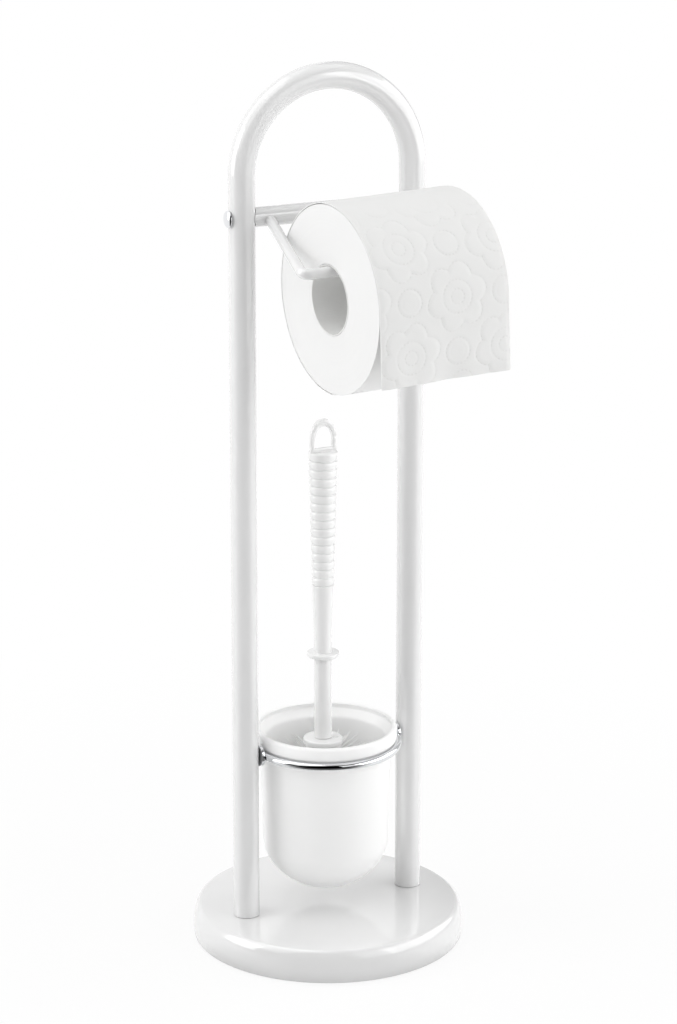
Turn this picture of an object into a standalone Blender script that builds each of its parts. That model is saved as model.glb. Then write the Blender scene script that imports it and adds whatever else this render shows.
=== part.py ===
"""Free-standing toilet roll holder with a brush set: one object for each piece.

Frame: metres, +Z up, origin on the floor at the centre of the round base. X runs along the
cross rail from the left upright to the right one, and the paper roll hangs on the -Y side.
"""
import math

import bmesh
import bpy
from mathutils import Matrix, Vector

# Clearances
SEAT_GAP = 0.0003
THREAD_GAP = 0.0003
HOLE_GAP = 0.0004
OVERRUN = 0.004
MERGE = 0.00001

# Base
BASE_RADIUS = 0.100
BASE_HEIGHT = 0.0245
BASE_EDGE_RUN = 0.0062
BASE_EDGE_DROP = 0.0160
BASE_TAPER = 0.0008
SHELL_WALL = 0.0015
SHELL_LIFT = 0.0008
PAD_THICKNESS = 0.0015
PAD_INSET = 0.0060
COUNTERBORE_RADIUS = 0.0100
COUNTERBORE_ROOF = 0.0080

# Foot fastening
BOLT_RADIUS = 0.0040
BOLT_HEAD_RADIUS = 0.0065
BOLT_HEAD_HEIGHT = 0.0070
BOLT_KEY_RADIUS = 0.0033
BOLT_KEY_DEPTH = 0.0040
BOLT_GRIP = 0.0140
WASHER_RADIUS = 0.0085
WASHER_THICKNESS = 0.0016
INSERT_LENGTH = 0.0200

# Arch frame
UPRIGHT_HALF_SPACING = 0.0663
UPRIGHT_RADIUS = 0.0095
UPRIGHT_WALL = 0.0012
ARCH_CENTRE_RISE = 0.0287

# Cross rail
RAIL_HEIGHT = 0.5430
RAIL_RADIUS = 0.0070
RAIL_WALL = 0.0010
RAIL_INSERT_LENGTH = 0.0180
RAIL_INSERT_SETBACK = 0.0025
RAIL_SCREW_RADIUS = 0.0029
RAIL_SCREW_CAP_RADIUS = 0.0060
RAIL_SCREW_CAP_RISE = 0.0030
RAIL_SCREW_CAP_EDGE = 0.0008

# Paper roll: the centre of its left face, with its drop below the rail, its lie and its size
ROLL_FACE_X = -0.0417
ROLL_AXIS_Y = -0.0880
ROLL_AXIS_DROP = 0.0428
ROLL_YAW = math.radians(4.4)
ROLL_RISE = math.radians(1.15)
ROLL_RADIUS = 0.0656
ROLL_WIDTH = 0.1014
CORE_BORE_RADIUS = 0.0236
CORE_WALL = 0.0008
ROLL_EDGE_ROUND = 0.0012
PAPER_THICKNESS = 0.0005
TAIL_DROP = 0.0487
TAIL_WRAP = math.radians(270.0)

# Bent arm
ARM_RADIUS = 0.00375
ARM_ROOT_X = -0.0463
ARM_CORNER_OFFSET = 0.0200
ARM_BEND_RADIUS = 0.0055
ARM_TIP_REACH = 0.0115

# Ring that carries the bowl
RING_RADIUS = 0.0530
RING_SECTION_RADIUS = 0.00285
RING_HEIGHT = 0.1465
RING_SETBACK = 0.0040
FLANGE_RADIUS = 0.0080
FLANGE_THICKNESS = 0.0027
BOSS_RADIUS = 0.0060
BOSS_ROOT_RADIUS = 0.0026
BOSS_LENGTH = 0.0016
RING_SCREW_RADIUS = 0.0015
RING_SCREW_HEAD_RADIUS = 0.0023
RING_SCREW_HEAD_DEPTH = 0.0010
RING_SCREW_LENGTH = 0.0120
RIVET_NUT_RADIUS = 0.0026
RIVET_NUT_LENGTH = 0.0070
RIVET_NUT_BULGE_RADIUS = 0.0036
RIVET_NUT_BULGE_LENGTH = 0.0020

# Glass bowl
BOWL_FOOT_HEIGHT = 0.0350
BOWL_SHOULDER_HEIGHT = 0.0715
BOWL_SHOULDER_RADIUS = 0.0460
BOWL_TOP_RADIUS = 0.0478
BOWL_RIM_RADIUS = 0.0523
BOWL_RIM_HEIGHT = 0.1598
BOWL_THROAT_RADIUS = 0.0446
BOWL_THROAT_HEIGHT = 0.1505
BOWL_WALL = 0.0036
BOWL_FLOOR = 0.0050
BOWL_FOOT_POWER = 1.8
BOWL_LIP_ROUND = 0.0022
BOWL_LIP_SLOPE_RADIUS = 0.0500
BOWL_LIP_SLOPE_HEIGHT = 0.1560

# Brush
BRUSH_X = -0.0020
HANDLE_TOP = 0.3676
GRIP_TOP_RADIUS = 0.0108
GRIP_BOTTOM_RADIUS = 0.0081
GRIP_BOTTOM = 0.2677
GRIP_EDGE = 0.0010
RIB_COUNT = 16
RIB_GROOVE_WIDTH = 0.0014
RIB_GROOVE_DEPTH = 0.0012
NECK_BOTTOM = 0.2225
STEM_RADIUS = 0.0065
SPLASH_TOP = 0.2168
SPLASH_THICKNESS = 0.0034
SPLASH_RADIUS = 0.0119
SPLASH_EDGE = 0.0006
LOOP_HEIGHT = 0.0241
LOOP_WIDTH = 0.0205
LOOP_THICKNESS = 0.0035
LOOP_SIDE = 0.0034
LOOP_TOP_BAR = 0.0055
LOOP_SILL = 0.0028
LOOP_CROWN = 1.3
SPIGOT_RADIUS = 0.0040
SPIGOT_LENGTH = 0.0130
HUB_TOP = 0.1509
HUB_RADIUS = 0.0146
HUB_THICKNESS = 0.0100
HUB_EDGE = 0.0012
POST_RADIUS = 0.0070
POST_END_HEIGHT = 0.0600
BACKING_RADIUS = 0.0105
BACKING_LENGTH = 0.0780
BACKING_COLLAR = 0.0045
BRISTLE_RINGS = 12
BRISTLE_COLUMNS = 16
BRISTLE_REACH = 0.0380
BRISTLE_TOP = 0.1435
BRISTLE_KNEE_SHARE = 0.6
BRISTLE_END_ANGLE = math.radians(72.0)
BRISTLE_INSET = 0.0006
BRISTLE_SEAT_GAP = 0.0005

# Facets of the round pieces
BASE_FACETS = 48
BOWL_FACETS = 36
ROLL_FACETS = 48
SHAFT_FACETS = 16
GRIP_FACETS = 14
RING_FACETS = 48
RING_SECTION_FACETS = 10
ARCH_STEPS = 20
TUBE_BEVEL = 5
ARM_BEVEL = 4

OBJECT_NAME = "toilet_roll_holder"
SIDES = {"left": -1, "right": 1}
FACE_LEFT = Matrix.Rotation(-math.pi / 2, 4, "Y")
FACE_RIGHT = Matrix.Rotation(math.pi / 2, 4, "Y")


def clear_scene():
    """Remove whatever the file opened with."""
    for old in list(bpy.data.objects):
        bpy.data.objects.remove(old, do_unlink=True)


def new_collection(name):
    """Make a collection in the scene."""
    collection = bpy.data.collections.new(name)
    bpy.context.scene.collection.children.link(collection)
    return collection


def make_material(name, colour, roughness, metallic=0.0, transmission=0.0):
    """Make a plain surface material."""
    material = bpy.data.materials.new(name)
    material.use_nodes = True
    shader = material.node_tree.nodes["Principled BSDF"]
    shader.inputs["Base Color"].default_value = (*colour, 1.0)
    shader.inputs["Roughness"].default_value = roughness
    shader.inputs["Metallic"].default_value = metallic
    shader.inputs["Transmission Weight"].default_value = transmission
    material.diffuse_color = (*colour, 1.0)
    return material


def make_materials():
    """Make every material of the object."""
    return {
        "white_lacquer": make_material("white_lacquer", (0.86, 0.87, 0.88), 0.18),
        "chrome": make_material("chrome", (0.80, 0.81, 0.82), 0.06, 1.0),
        "zinc": make_material("zinc", (0.62, 0.63, 0.64), 0.35, 1.0),
        "cement": make_material("cement", (0.42, 0.41, 0.39), 0.90),
        "rubber": make_material("rubber", (0.05, 0.05, 0.05), 0.75),
        "frosted_glass": make_material("frosted_glass", (0.86, 0.89, 0.88), 0.45, 0.0, 0.6),
        "white_plastic": make_material("white_plastic", (0.88, 0.88, 0.87), 0.30),
        "bristle": make_material("bristle", (0.90, 0.90, 0.88), 0.50),
        "card": make_material("card", (0.60, 0.59, 0.57), 0.85),
        "wound_tissue": make_material("wound_tissue", (0.90, 0.90, 0.89), 0.95),
        "tissue": make_material("tissue", (0.90, 0.90, 0.89), 0.95),
    }


class Builder:
    """Adds finished objects to the object's collection, and cutters to their own."""

    def __init__(self):
        clear_scene()
        self.parts = new_collection(OBJECT_NAME)
        self.cutters = new_collection("cutters")
        self.materials = make_materials()

    def add(self, name, mesh, material, matrix=Matrix.Identity(4), parent=None):
        """Link a mesh as a named piece."""
        piece = bpy.data.objects.new(name, mesh)
        self.parts.objects.link(piece)
        mesh.materials.clear()
        mesh.materials.append(self.materials[material])
        piece.parent = parent
        piece.matrix_local = matrix
        return piece

    def add_cutter(self, name, mesh, matrix=Matrix.Identity(4), parent=None):
        """Link a mesh as a hidden cutter."""
        cutter = bpy.data.objects.new(name, mesh)
        self.cutters.objects.link(cutter)
        cutter.parent = parent
        cutter.matrix_local = matrix
        cutter.hide_render = True
        cutter.display_type = "WIRE"
        return cutter

    def empty(self, name, matrix, parent=None):
        """Link an empty, which marks a frame that moving pieces hang from."""
        mark = bpy.data.objects.new(name, None)
        self.parts.objects.link(mark)
        mark.parent = parent
        mark.matrix_local = matrix
        return mark


def cut(piece, cutter, operation="DIFFERENCE"):
    """Give a piece a Boolean modifier."""
    modifier = piece.modifiers.new(cutter.name, "BOOLEAN")
    modifier.operation = operation
    modifier.object = cutter
    modifier.solver = "EXACT"


def place(x=0.0, y=0.0, z=0.0):
    """Make a translation matrix."""
    return Matrix.Translation((x, y, z))


def cylinder_mesh(name, radius, length, facets=SHAFT_FACETS):
    """Make a capped cylinder about Z, centred on its middle."""
    mesh = bpy.data.meshes.new(name)
    bm = bmesh.new()
    bmesh.ops.create_cone(bm, cap_ends=True, segments=facets, radius1=radius, radius2=radius, depth=length)
    bm.to_mesh(mesh)
    bm.free()
    return mesh


def cone_mesh(name, bottom_radius, top_radius, length, facets=SHAFT_FACETS):
    """Make a capped cone about Z, centred on its middle."""
    mesh = bpy.data.meshes.new(name)
    bm = bmesh.new()
    bmesh.ops.create_cone(bm, cap_ends=True, segments=facets, radius1=bottom_radius, radius2=top_radius, depth=length)
    bm.to_mesh(mesh)
    bm.free()
    return mesh


def profile_mesh(name, profile, closed=False):
    """Make the edges of a profile of (radius, height) points in the XZ plane."""
    mesh = bpy.data.meshes.new(name)
    bm = bmesh.new()
    verts = [bm.verts.new((radius, 0, height)) for radius, height in profile]
    for start, end in zip(verts, verts[1:]):
        bm.edges.new((start, end))
    if closed:
        bm.edges.new((verts[-1], verts[0]))
    bm.to_mesh(mesh)
    bm.free()
    return mesh


def turn(piece, facets):
    """Turn a profile about its Z axis into a solid."""
    screw = piece.modifiers.new("turn", "SCREW")
    screw.axis = "Z"
    screw.angle = 2 * math.pi
    screw.steps = facets
    screw.render_steps = facets
    screw.use_smooth_shade = True
    screw.use_merge_vertices = True
    screw.merge_threshold = MERGE
    return piece


def arc(centre, radius_x, radius_y, start, end, steps):
    """Points of an elliptical arc in a plane, both ends included."""
    points = []
    for step in range(steps + 1):
        angle = start + (end - start) * step / steps
        x = centre[0] + radius_x * math.cos(angle)
        y = centre[1] + radius_y * math.sin(angle)
        points.append((x, y))
    return points


def tube_mesh(name, points, radius, bevel_resolution):
    """Make a solid rod along a path, as a curve that becomes a closed mesh."""
    curve = bpy.data.curves.new(name, "CURVE")
    curve.dimensions = "3D"
    curve.bevel_depth = radius
    curve.bevel_resolution = bevel_resolution
    curve.use_fill_caps = True
    spline = curve.splines.new("POLY")
    spline.points.add(len(points) - 1)
    for target, point in zip(spline.points, points):
        target.co = (*point, 1.0)
    guide = bpy.data.objects.new(name + "_curve", curve)
    bpy.context.scene.collection.objects.link(guide)
    bpy.context.view_layer.update()
    graph = bpy.context.evaluated_depsgraph_get()
    mesh = bpy.data.meshes.new_from_object(guide.evaluated_get(graph))
    mesh.name = name
    bpy.data.objects.remove(guide, do_unlink=True)
    bm = bmesh.new()
    bm.from_mesh(mesh)
    bmesh.ops.remove_doubles(bm, verts=bm.verts, dist=MERGE)
    bmesh.ops.recalc_face_normals(bm, faces=bm.faces)
    bm.to_mesh(mesh)
    bm.free()
    mesh.shade_smooth()
    return mesh


def outline_mesh(name, outlines, thickness):
    """Make a flat plate from closed outlines in the XY plane: the first is its edge, others are holes."""
    curve = bpy.data.curves.new(name, "CURVE")
    curve.dimensions = "2D"
    curve.fill_mode = "BOTH"
    curve.extrude = thickness / 2
    for outline in outlines:
        spline = curve.splines.new("POLY")
        spline.points.add(len(outline) - 1)
        for target, (x, y) in zip(spline.points, outline):
            target.co = (x, y, 0, 1.0)
        spline.use_cyclic_u = True
    guide = bpy.data.objects.new(name + "_curve", curve)
    bpy.context.scene.collection.objects.link(guide)
    bpy.context.view_layer.update()
    graph = bpy.context.evaluated_depsgraph_get()
    mesh = bpy.data.meshes.new_from_object(guide.evaluated_get(graph))
    mesh.name = name
    bpy.data.objects.remove(guide, do_unlink=True)
    bm = bmesh.new()
    bm.from_mesh(mesh)
    bmesh.ops.remove_doubles(bm, verts=bm.verts, dist=MERGE)
    bmesh.ops.recalc_face_normals(bm, faces=bm.faces)
    bm.to_mesh(mesh)
    bm.free()
    return mesh


def base_profile(offset, top, bottom):
    """Outer line of the base from its axis to its lower edge, drawn in by an offset."""
    radius = BASE_RADIUS - offset
    edge_bottom = BASE_HEIGHT - BASE_EDGE_DROP
    flat_radius = BASE_RADIUS - BASE_EDGE_RUN - offset
    rounding = arc((flat_radius, edge_bottom), radius - flat_radius, top - edge_bottom, math.pi / 2, 0, 5)
    return [(0, top)] + rounding + [(radius - BASE_TAPER, bottom)]


def build_base(builder):
    """Pressed steel shell over a cement weight, with a rubber pad below."""
    shell_hole = BOLT_RADIUS + HOLE_GAP
    shell = builder.add("base_shell", profile_mesh("base_shell", base_profile(0, BASE_HEIGHT, SHELL_LIFT)),
                        "white_lacquer")
    turn(shell, BASE_FACETS)
    wall = shell.modifiers.new("wall", "SOLIDIFY")
    wall.thickness = SHELL_WALL
    wall.offset = -1.0
    wall.use_even_offset = True

    weight_bottom = PAD_THICKNESS + SEAT_GAP
    weight_top = BASE_HEIGHT - SHELL_WALL - SEAT_GAP
    weight_profile = base_profile(SHELL_WALL + 2 * SEAT_GAP, weight_top, weight_bottom)
    weight_profile.append((0, weight_bottom))
    weight = builder.add("base_weight", profile_mesh("base_weight", weight_profile), "cement")
    turn(weight, BASE_FACETS)

    pad_radius = BASE_RADIUS - PAD_INSET
    builder.add("base_pad", cylinder_mesh("base_pad", pad_radius, PAD_THICKNESS, BASE_FACETS), "rubber",
                place(z=PAD_THICKNESS / 2))

    roof = weight_top - COUNTERBORE_ROOF
    for side, sign in SIDES.items():
        x = sign * UPRIGHT_HALF_SPACING
        hole = builder.add_cutter("bolt_hole_" + side, cylinder_mesh("bolt_hole", shell_hole, 2 * BASE_HEIGHT),
                                  place(x, 0, BASE_HEIGHT))
        bore_length = roof + OVERRUN
        bore = builder.add_cutter("counterbore_" + side,
                                  cylinder_mesh("counterbore", COUNTERBORE_RADIUS, bore_length),
                                  place(x, 0, roof - bore_length / 2))
        cut(shell, hole)
        cut(weight, hole)
        cut(weight, bore)
        build_foot_fastening(builder, side, x, roof)


def build_foot_fastening(builder, side, x, roof):
    """Bolt and washer from below, and the threaded insert in the upright's foot."""
    washer_top = roof - SEAT_GAP
    washer_bottom = washer_top - WASHER_THICKNESS
    washer_bore = BOLT_RADIUS + HOLE_GAP
    washer_profile = [(washer_bore, washer_top), (WASHER_RADIUS, washer_top),
                      (WASHER_RADIUS, washer_bottom), (washer_bore, washer_bottom)]
    turn(builder.add("foot_washer_" + side, profile_mesh("foot_washer", washer_profile, True), "zinc", place(x)),
         SHAFT_FACETS)

    head_top = washer_bottom - SEAT_GAP
    head_bottom = head_top - BOLT_HEAD_HEIGHT
    bolt_tip = BASE_HEIGHT + SEAT_GAP + BOLT_GRIP
    bolt_profile = [(0, bolt_tip), (BOLT_RADIUS, bolt_tip), (BOLT_RADIUS, head_top), (BOLT_HEAD_RADIUS, head_top),
                    (BOLT_HEAD_RADIUS, head_bottom), (0, head_bottom)]
    bolt = turn(builder.add("foot_bolt_" + side, profile_mesh("foot_bolt", bolt_profile), "zinc", place(x)),
                SHAFT_FACETS)
    key_length = BOLT_KEY_DEPTH + OVERRUN
    key = builder.add_cutter("bolt_key_" + side, cylinder_mesh("bolt_key", BOLT_KEY_RADIUS, key_length, 6),
                             place(x, 0, head_bottom + BOLT_KEY_DEPTH - key_length / 2))
    cut(bolt, key)

    insert_bottom = BASE_HEIGHT + SEAT_GAP
    insert_top = insert_bottom + INSERT_LENGTH
    insert_radius = UPRIGHT_RADIUS - UPRIGHT_WALL - SEAT_GAP
    insert_bore = BOLT_RADIUS + THREAD_GAP
    insert_profile = [(insert_bore, insert_top), (insert_radius, insert_top),
                      (insert_radius, insert_bottom), (insert_bore, insert_bottom)]
    turn(builder.add("foot_insert_" + side, profile_mesh("foot_insert", insert_profile, True), "zinc", place(x)),
         SHAFT_FACETS)


def arch_path(overrun):
    """Centreline of the arch tube from the left foot over the top to the right foot."""
    foot = BASE_HEIGHT + SEAT_GAP - overrun
    over = arc((0, RAIL_HEIGHT + ARCH_CENTRE_RISE), UPRIGHT_HALF_SPACING, UPRIGHT_HALF_SPACING, math.pi, 0, ARCH_STEPS)
    points = [(-UPRIGHT_HALF_SPACING, 0, foot)]
    points += [(x, 0, z) for x, z in over]
    points += [(UPRIGHT_HALF_SPACING, 0, foot)]
    return points


def build_frame(builder):
    """One bent tube, open at both feet, drilled for the rail and ring fastenings."""
    tube = builder.add("frame_tube", tube_mesh("frame_tube", arch_path(0), UPRIGHT_RADIUS, TUBE_BEVEL), "white_lacquer")
    bore_mesh = tube_mesh("frame_bore", arch_path(OVERRUN), UPRIGHT_RADIUS - UPRIGHT_WALL, TUBE_BEVEL)
    cut(tube, builder.add_cutter("frame_bore", bore_mesh))
    for side, sign in SIDES.items():
        x = sign * UPRIGHT_HALF_SPACING
        rail_drill = builder.add_cutter(
            "rail_drill_" + side,
            cylinder_mesh("rail_drill", RAIL_SCREW_RADIUS + HOLE_GAP, 2 * (UPRIGHT_RADIUS + OVERRUN), 12),
            place(x, 0, RAIL_HEIGHT) @ FACE_RIGHT)
        cut(tube, rail_drill)
        nut_drill = builder.add_cutter(
            "nut_drill_" + side,
            cylinder_mesh("nut_drill", RIVET_NUT_RADIUS + HOLE_GAP, UPRIGHT_RADIUS, 12),
            place(x - sign * UPRIGHT_RADIUS, 0, RING_HEIGHT) @ FACE_RIGHT)
        cut(tube, nut_drill)


def build_rail(builder):
    """Cross rail with coped ends, threaded inserts and round-capped screws through the uprights."""
    rail = builder.add("rail_tube",
                       cylinder_mesh("rail_tube", RAIL_RADIUS, 2 * UPRIGHT_HALF_SPACING, SHAFT_FACETS + 4),
                       "white_lacquer", place(z=RAIL_HEIGHT) @ FACE_RIGHT)
    rail.data.shade_smooth()
    rail.data.set_sharp_from_angle(angle=math.radians(40))
    bore_length = 2 * (UPRIGHT_HALF_SPACING + OVERRUN)
    cut(rail, builder.add_cutter("rail_bore", cylinder_mesh("rail_bore", RAIL_RADIUS - RAIL_WALL, bore_length),
                                 place(z=RAIL_HEIGHT) @ FACE_RIGHT))
    cope_radius = UPRIGHT_RADIUS + SEAT_GAP
    screw_hole = RAIL_SCREW_RADIUS + THREAD_GAP
    insert_radius = RAIL_RADIUS - RAIL_WALL - SEAT_GAP
    insert_end = RAIL_INSERT_LENGTH / 2
    insert_profile = [(screw_hole, insert_end), (insert_radius, insert_end),
                      (insert_radius, -insert_end), (screw_hole, -insert_end)]
    insert_x = UPRIGHT_HALF_SPACING - cope_radius - RAIL_INSERT_SETBACK - insert_end
    for side, sign in SIDES.items():
        cope = builder.add_cutter("rail_cope_" + side,
                                  cylinder_mesh("rail_cope", cope_radius, 4 * RAIL_RADIUS, 2 * SHAFT_FACETS),
                                  place(sign * UPRIGHT_HALF_SPACING, 0, RAIL_HEIGHT))
        cut(rail, cope)
        turn(builder.add("rail_insert_" + side, profile_mesh("rail_insert", insert_profile, True), "zinc",
                         place(sign * insert_x, 0, RAIL_HEIGHT) @ FACE_RIGHT), SHAFT_FACETS)
        build_rail_screw(builder, side, sign, insert_x - insert_end)


def build_rail_screw(builder, side, sign, tip_x):
    """Screw with a domed cap that seats on the outer side of an upright."""
    seat_x = UPRIGHT_HALF_SPACING + UPRIGHT_RADIUS + SEAT_GAP
    shank = seat_x - tip_x
    dome_rise = RAIL_SCREW_CAP_RISE - RAIL_SCREW_CAP_EDGE
    dome = arc((0, RAIL_SCREW_CAP_EDGE), RAIL_SCREW_CAP_RADIUS, dome_rise, math.pi / 2, 0, 4)
    profile = dome + [(RAIL_SCREW_CAP_RADIUS, 0), (RAIL_SCREW_RADIUS, 0), (RAIL_SCREW_RADIUS, -shank), (0, -shank)]
    facing = FACE_RIGHT if sign > 0 else FACE_LEFT
    turn(builder.add("rail_screw_" + side, profile_mesh("rail_screw", profile), "chrome",
                     place(sign * seat_x, 0, RAIL_HEIGHT) @ facing), SHAFT_FACETS)


def roll_frame():
    """Frame at the centre of the roll's left face: X along its axle, Y to the back, Z up."""
    turn_up = Matrix.Rotation(ROLL_YAW, 4, "Z") @ Matrix.Rotation(-ROLL_RISE, 4, "Y")
    return place(ROLL_FACE_X, ROLL_AXIS_Y, RAIL_HEIGHT - ROLL_AXIS_DROP) @ turn_up


def rounded_corner(before, corner, after, radius, steps):
    """Points of a bend of a given radius between two straight runs."""
    leg_in = (before - corner).normalized()
    leg_out = (after - corner).normalized()
    half_angle = leg_in.angle(leg_out) / 2
    setback = radius / math.tan(half_angle)
    centre = corner + (leg_in + leg_out).normalized() * radius / math.sin(half_angle)
    start = corner + leg_in * setback - centre
    end = corner + leg_out * setback - centre
    return [centre + start.slerp(end, step / steps) * radius for step in range(steps + 1)]


def build_arm(builder):
    """Bent rod from the front of the rail through the roll's core."""
    frame = roll_frame()
    lift = CORE_BORE_RADIUS - SEAT_GAP - ARM_RADIUS
    root = Vector((ARM_ROOT_X, 0, RAIL_HEIGHT))
    corner = frame @ Vector((-ARM_CORNER_OFFSET, 0, lift))
    tip = frame @ Vector((ROLL_WIDTH + ARM_TIP_REACH, 0, lift))
    bend = rounded_corner(root, corner, tip, ARM_BEND_RADIUS, 8)
    arm = builder.add("roll_arm", tube_mesh("roll_arm", [root] + bend + [tip], ARM_RADIUS, ARM_BEVEL), "white_lacquer")
    cope = builder.add_cutter("arm_cope",
                              cylinder_mesh("arm_cope", RAIL_RADIUS + SEAT_GAP, 2 * UPRIGHT_HALF_SPACING,
                                            2 * SHAFT_FACETS),
                              place(z=RAIL_HEIGHT) @ FACE_RIGHT)
    cut(arm, cope)


def build_roll(builder):
    """Card core, wound paper, and the outer turn of paper with its hanging end."""
    frame = builder.empty("roll_axis", roll_frame())
    along = FACE_RIGHT
    core_radius = CORE_BORE_RADIUS + CORE_WALL
    core_profile = [(CORE_BORE_RADIUS, ROLL_WIDTH), (core_radius, ROLL_WIDTH), (core_radius, 0), (CORE_BORE_RADIUS, 0)]
    turn(builder.add("roll_core", profile_mesh("roll_core", core_profile, True), "card", along, frame), ROLL_FACETS)

    bore = core_radius + SEAT_GAP
    radius = ROLL_RADIUS - PAPER_THICKNESS - SEAT_GAP
    edge = radius - ROLL_EDGE_ROUND
    paper_profile = [(bore, ROLL_WIDTH), (edge, ROLL_WIDTH), (radius, ROLL_WIDTH - ROLL_EDGE_ROUND),
                     (radius, ROLL_EDGE_ROUND), (edge, 0), (bore, 0)]
    turn(builder.add("roll_paper", profile_mesh("roll_paper", paper_profile, True), "wound_tissue", along, frame),
         ROLL_FACETS)

    build_tail(builder, frame)


def build_tail(builder, frame):
    """Sheet that lies round the roll, leaves it at the front and hangs down."""
    wrap_start = math.pi - TAIL_WRAP
    line = arc((0, 0), ROLL_RADIUS, ROLL_RADIUS, wrap_start, math.pi, ROLL_FACETS * 3 // 4)
    line.append((-ROLL_RADIUS, -TAIL_DROP / 2))
    line.append((-ROLL_RADIUS, -TAIL_DROP))
    mesh = bpy.data.meshes.new("paper_tail")
    bm = bmesh.new()
    verts = [bm.verts.new((0, y, z)) for y, z in line]
    edges = [bm.edges.new(pair) for pair in zip(verts, verts[1:])]
    swept = bmesh.ops.extrude_edge_only(bm, edges=edges)
    moved = [item for item in swept["geom"] if isinstance(item, bmesh.types.BMVert)]
    bmesh.ops.translate(bm, verts=moved, vec=(ROLL_WIDTH, 0, 0))
    bmesh.ops.recalc_face_normals(bm, faces=bm.faces)
    outward = sum(face.normal.dot(face.calc_center_median()) for face in bm.faces)
    if outward < 0:
        bmesh.ops.reverse_faces(bm, faces=bm.faces)
    bm.to_mesh(mesh)
    bm.free()
    tail = builder.add("paper_tail", mesh, "tissue", Matrix.Identity(4), frame)
    sheet = tail.modifiers.new("sheet", "SOLIDIFY")
    sheet.thickness = PAPER_THICKNESS
    sheet.offset = -1.0


def build_ring(builder):
    """Chrome ring between the uprights with a flange at each side."""
    mesh = bpy.data.meshes.new("bowl_ring")
    bm = bmesh.new()
    section = bmesh.ops.create_circle(bm, segments=RING_SECTION_FACETS, radius=RING_SECTION_RADIUS)["verts"]
    bmesh.ops.transform(bm, matrix=place(RING_RADIUS) @ Matrix.Rotation(math.pi / 2, 4, "X"), verts=section)
    bmesh.ops.spin(bm, geom=bm.edges[:], cent=(0, 0, 0), axis=(0, 0, 1), angle=2 * math.pi, steps=RING_FACETS,
                   use_merge=True)
    bmesh.ops.recalc_face_normals(bm, faces=bm.faces)
    bm.to_mesh(mesh)
    bm.free()
    mesh.shade_smooth()
    ring = builder.add("bowl_ring", mesh, "chrome", place(0, RING_SETBACK, RING_HEIGHT))

    flange_back = UPRIGHT_HALF_SPACING - UPRIGHT_RADIUS - SEAT_GAP
    flange_front = flange_back - FLANGE_THICKNESS
    section_x = math.sqrt(RING_RADIUS ** 2 - RING_SETBACK ** 2)
    screw_seat = section_x - RING_SECTION_RADIUS + RING_SCREW_HEAD_DEPTH
    for side, sign in SIDES.items():
        facing = FACE_RIGHT if sign > 0 else FACE_LEFT
        flange = builder.add_cutter("flange_" + side,
                                    cylinder_mesh("flange", FLANGE_RADIUS, FLANGE_THICKNESS, SHAFT_FACETS + 8),
                                    place(sign * (flange_front + flange_back) / 2, 0, RING_HEIGHT) @ facing)
        boss = builder.add_cutter("boss_" + side,
                                  cone_mesh("boss", BOSS_ROOT_RADIUS, BOSS_RADIUS, BOSS_LENGTH),
                                  place(sign * (flange_front - BOSS_LENGTH / 2 + SEAT_GAP), 0, RING_HEIGHT) @ facing)
        cut(ring, flange, "UNION")
        cut(ring, boss, "UNION")
        drill_length = flange_back + OVERRUN - screw_seat
        drill = builder.add_cutter("ring_drill_" + side,
                                   cylinder_mesh("ring_drill", RING_SCREW_RADIUS + HOLE_GAP, drill_length, 12),
                                   place(sign * (screw_seat + drill_length / 2), 0, RING_HEIGHT) @ facing)
        sink_length = RING_SCREW_HEAD_DEPTH + OVERRUN
        sink = builder.add_cutter("ring_sink_" + side,
                                  cylinder_mesh("ring_sink", RING_SCREW_HEAD_RADIUS + SEAT_GAP, sink_length, 12),
                                  place(sign * (screw_seat - sink_length / 2), 0, RING_HEIGHT) @ facing)
        cut(ring, drill)
        cut(ring, sink)
        build_ring_screw(builder, side, sign, screw_seat)
        build_rivet_nut(builder, side, sign)


def build_ring_screw(builder, side, sign, screw_seat):
    """Screw from inside the ring into the upright."""
    head_base = -SEAT_GAP
    head_top = head_base - RING_SCREW_HEAD_DEPTH + 2 * SEAT_GAP
    profile = [(0, RING_SCREW_LENGTH), (RING_SCREW_RADIUS, RING_SCREW_LENGTH), (RING_SCREW_RADIUS, head_base),
               (RING_SCREW_HEAD_RADIUS, head_base), (RING_SCREW_HEAD_RADIUS, head_top), (0, head_top)]
    facing = FACE_RIGHT if sign > 0 else FACE_LEFT
    turn(builder.add("ring_screw_" + side, profile_mesh("ring_screw", profile), "zinc",
                     place(sign * screw_seat, 0, RING_HEIGHT) @ facing), 12)


def build_rivet_nut(builder, side, sign):
    """Rivet nut through the inner wall of an upright."""
    bore = RING_SCREW_RADIUS + THREAD_GAP
    start = UPRIGHT_HALF_SPACING - UPRIGHT_RADIUS
    bulge_start = UPRIGHT_WALL + RIVET_NUT_BULGE_LENGTH / 2
    bulge_end = bulge_start + RIVET_NUT_BULGE_LENGTH
    profile = [(bore, RIVET_NUT_LENGTH), (RIVET_NUT_RADIUS, RIVET_NUT_LENGTH), (RIVET_NUT_RADIUS, bulge_end),
               (RIVET_NUT_BULGE_RADIUS, bulge_end), (RIVET_NUT_BULGE_RADIUS, bulge_start),
               (RIVET_NUT_RADIUS, bulge_start), (RIVET_NUT_RADIUS, 0), (bore, 0)]
    facing = FACE_RIGHT if sign > 0 else FACE_LEFT
    turn(builder.add("ring_rivet_nut_" + side, profile_mesh("ring_rivet_nut", profile, True), "zinc",
                     place(sign * start, 0, RING_HEIGHT) @ facing), 12)


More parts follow.
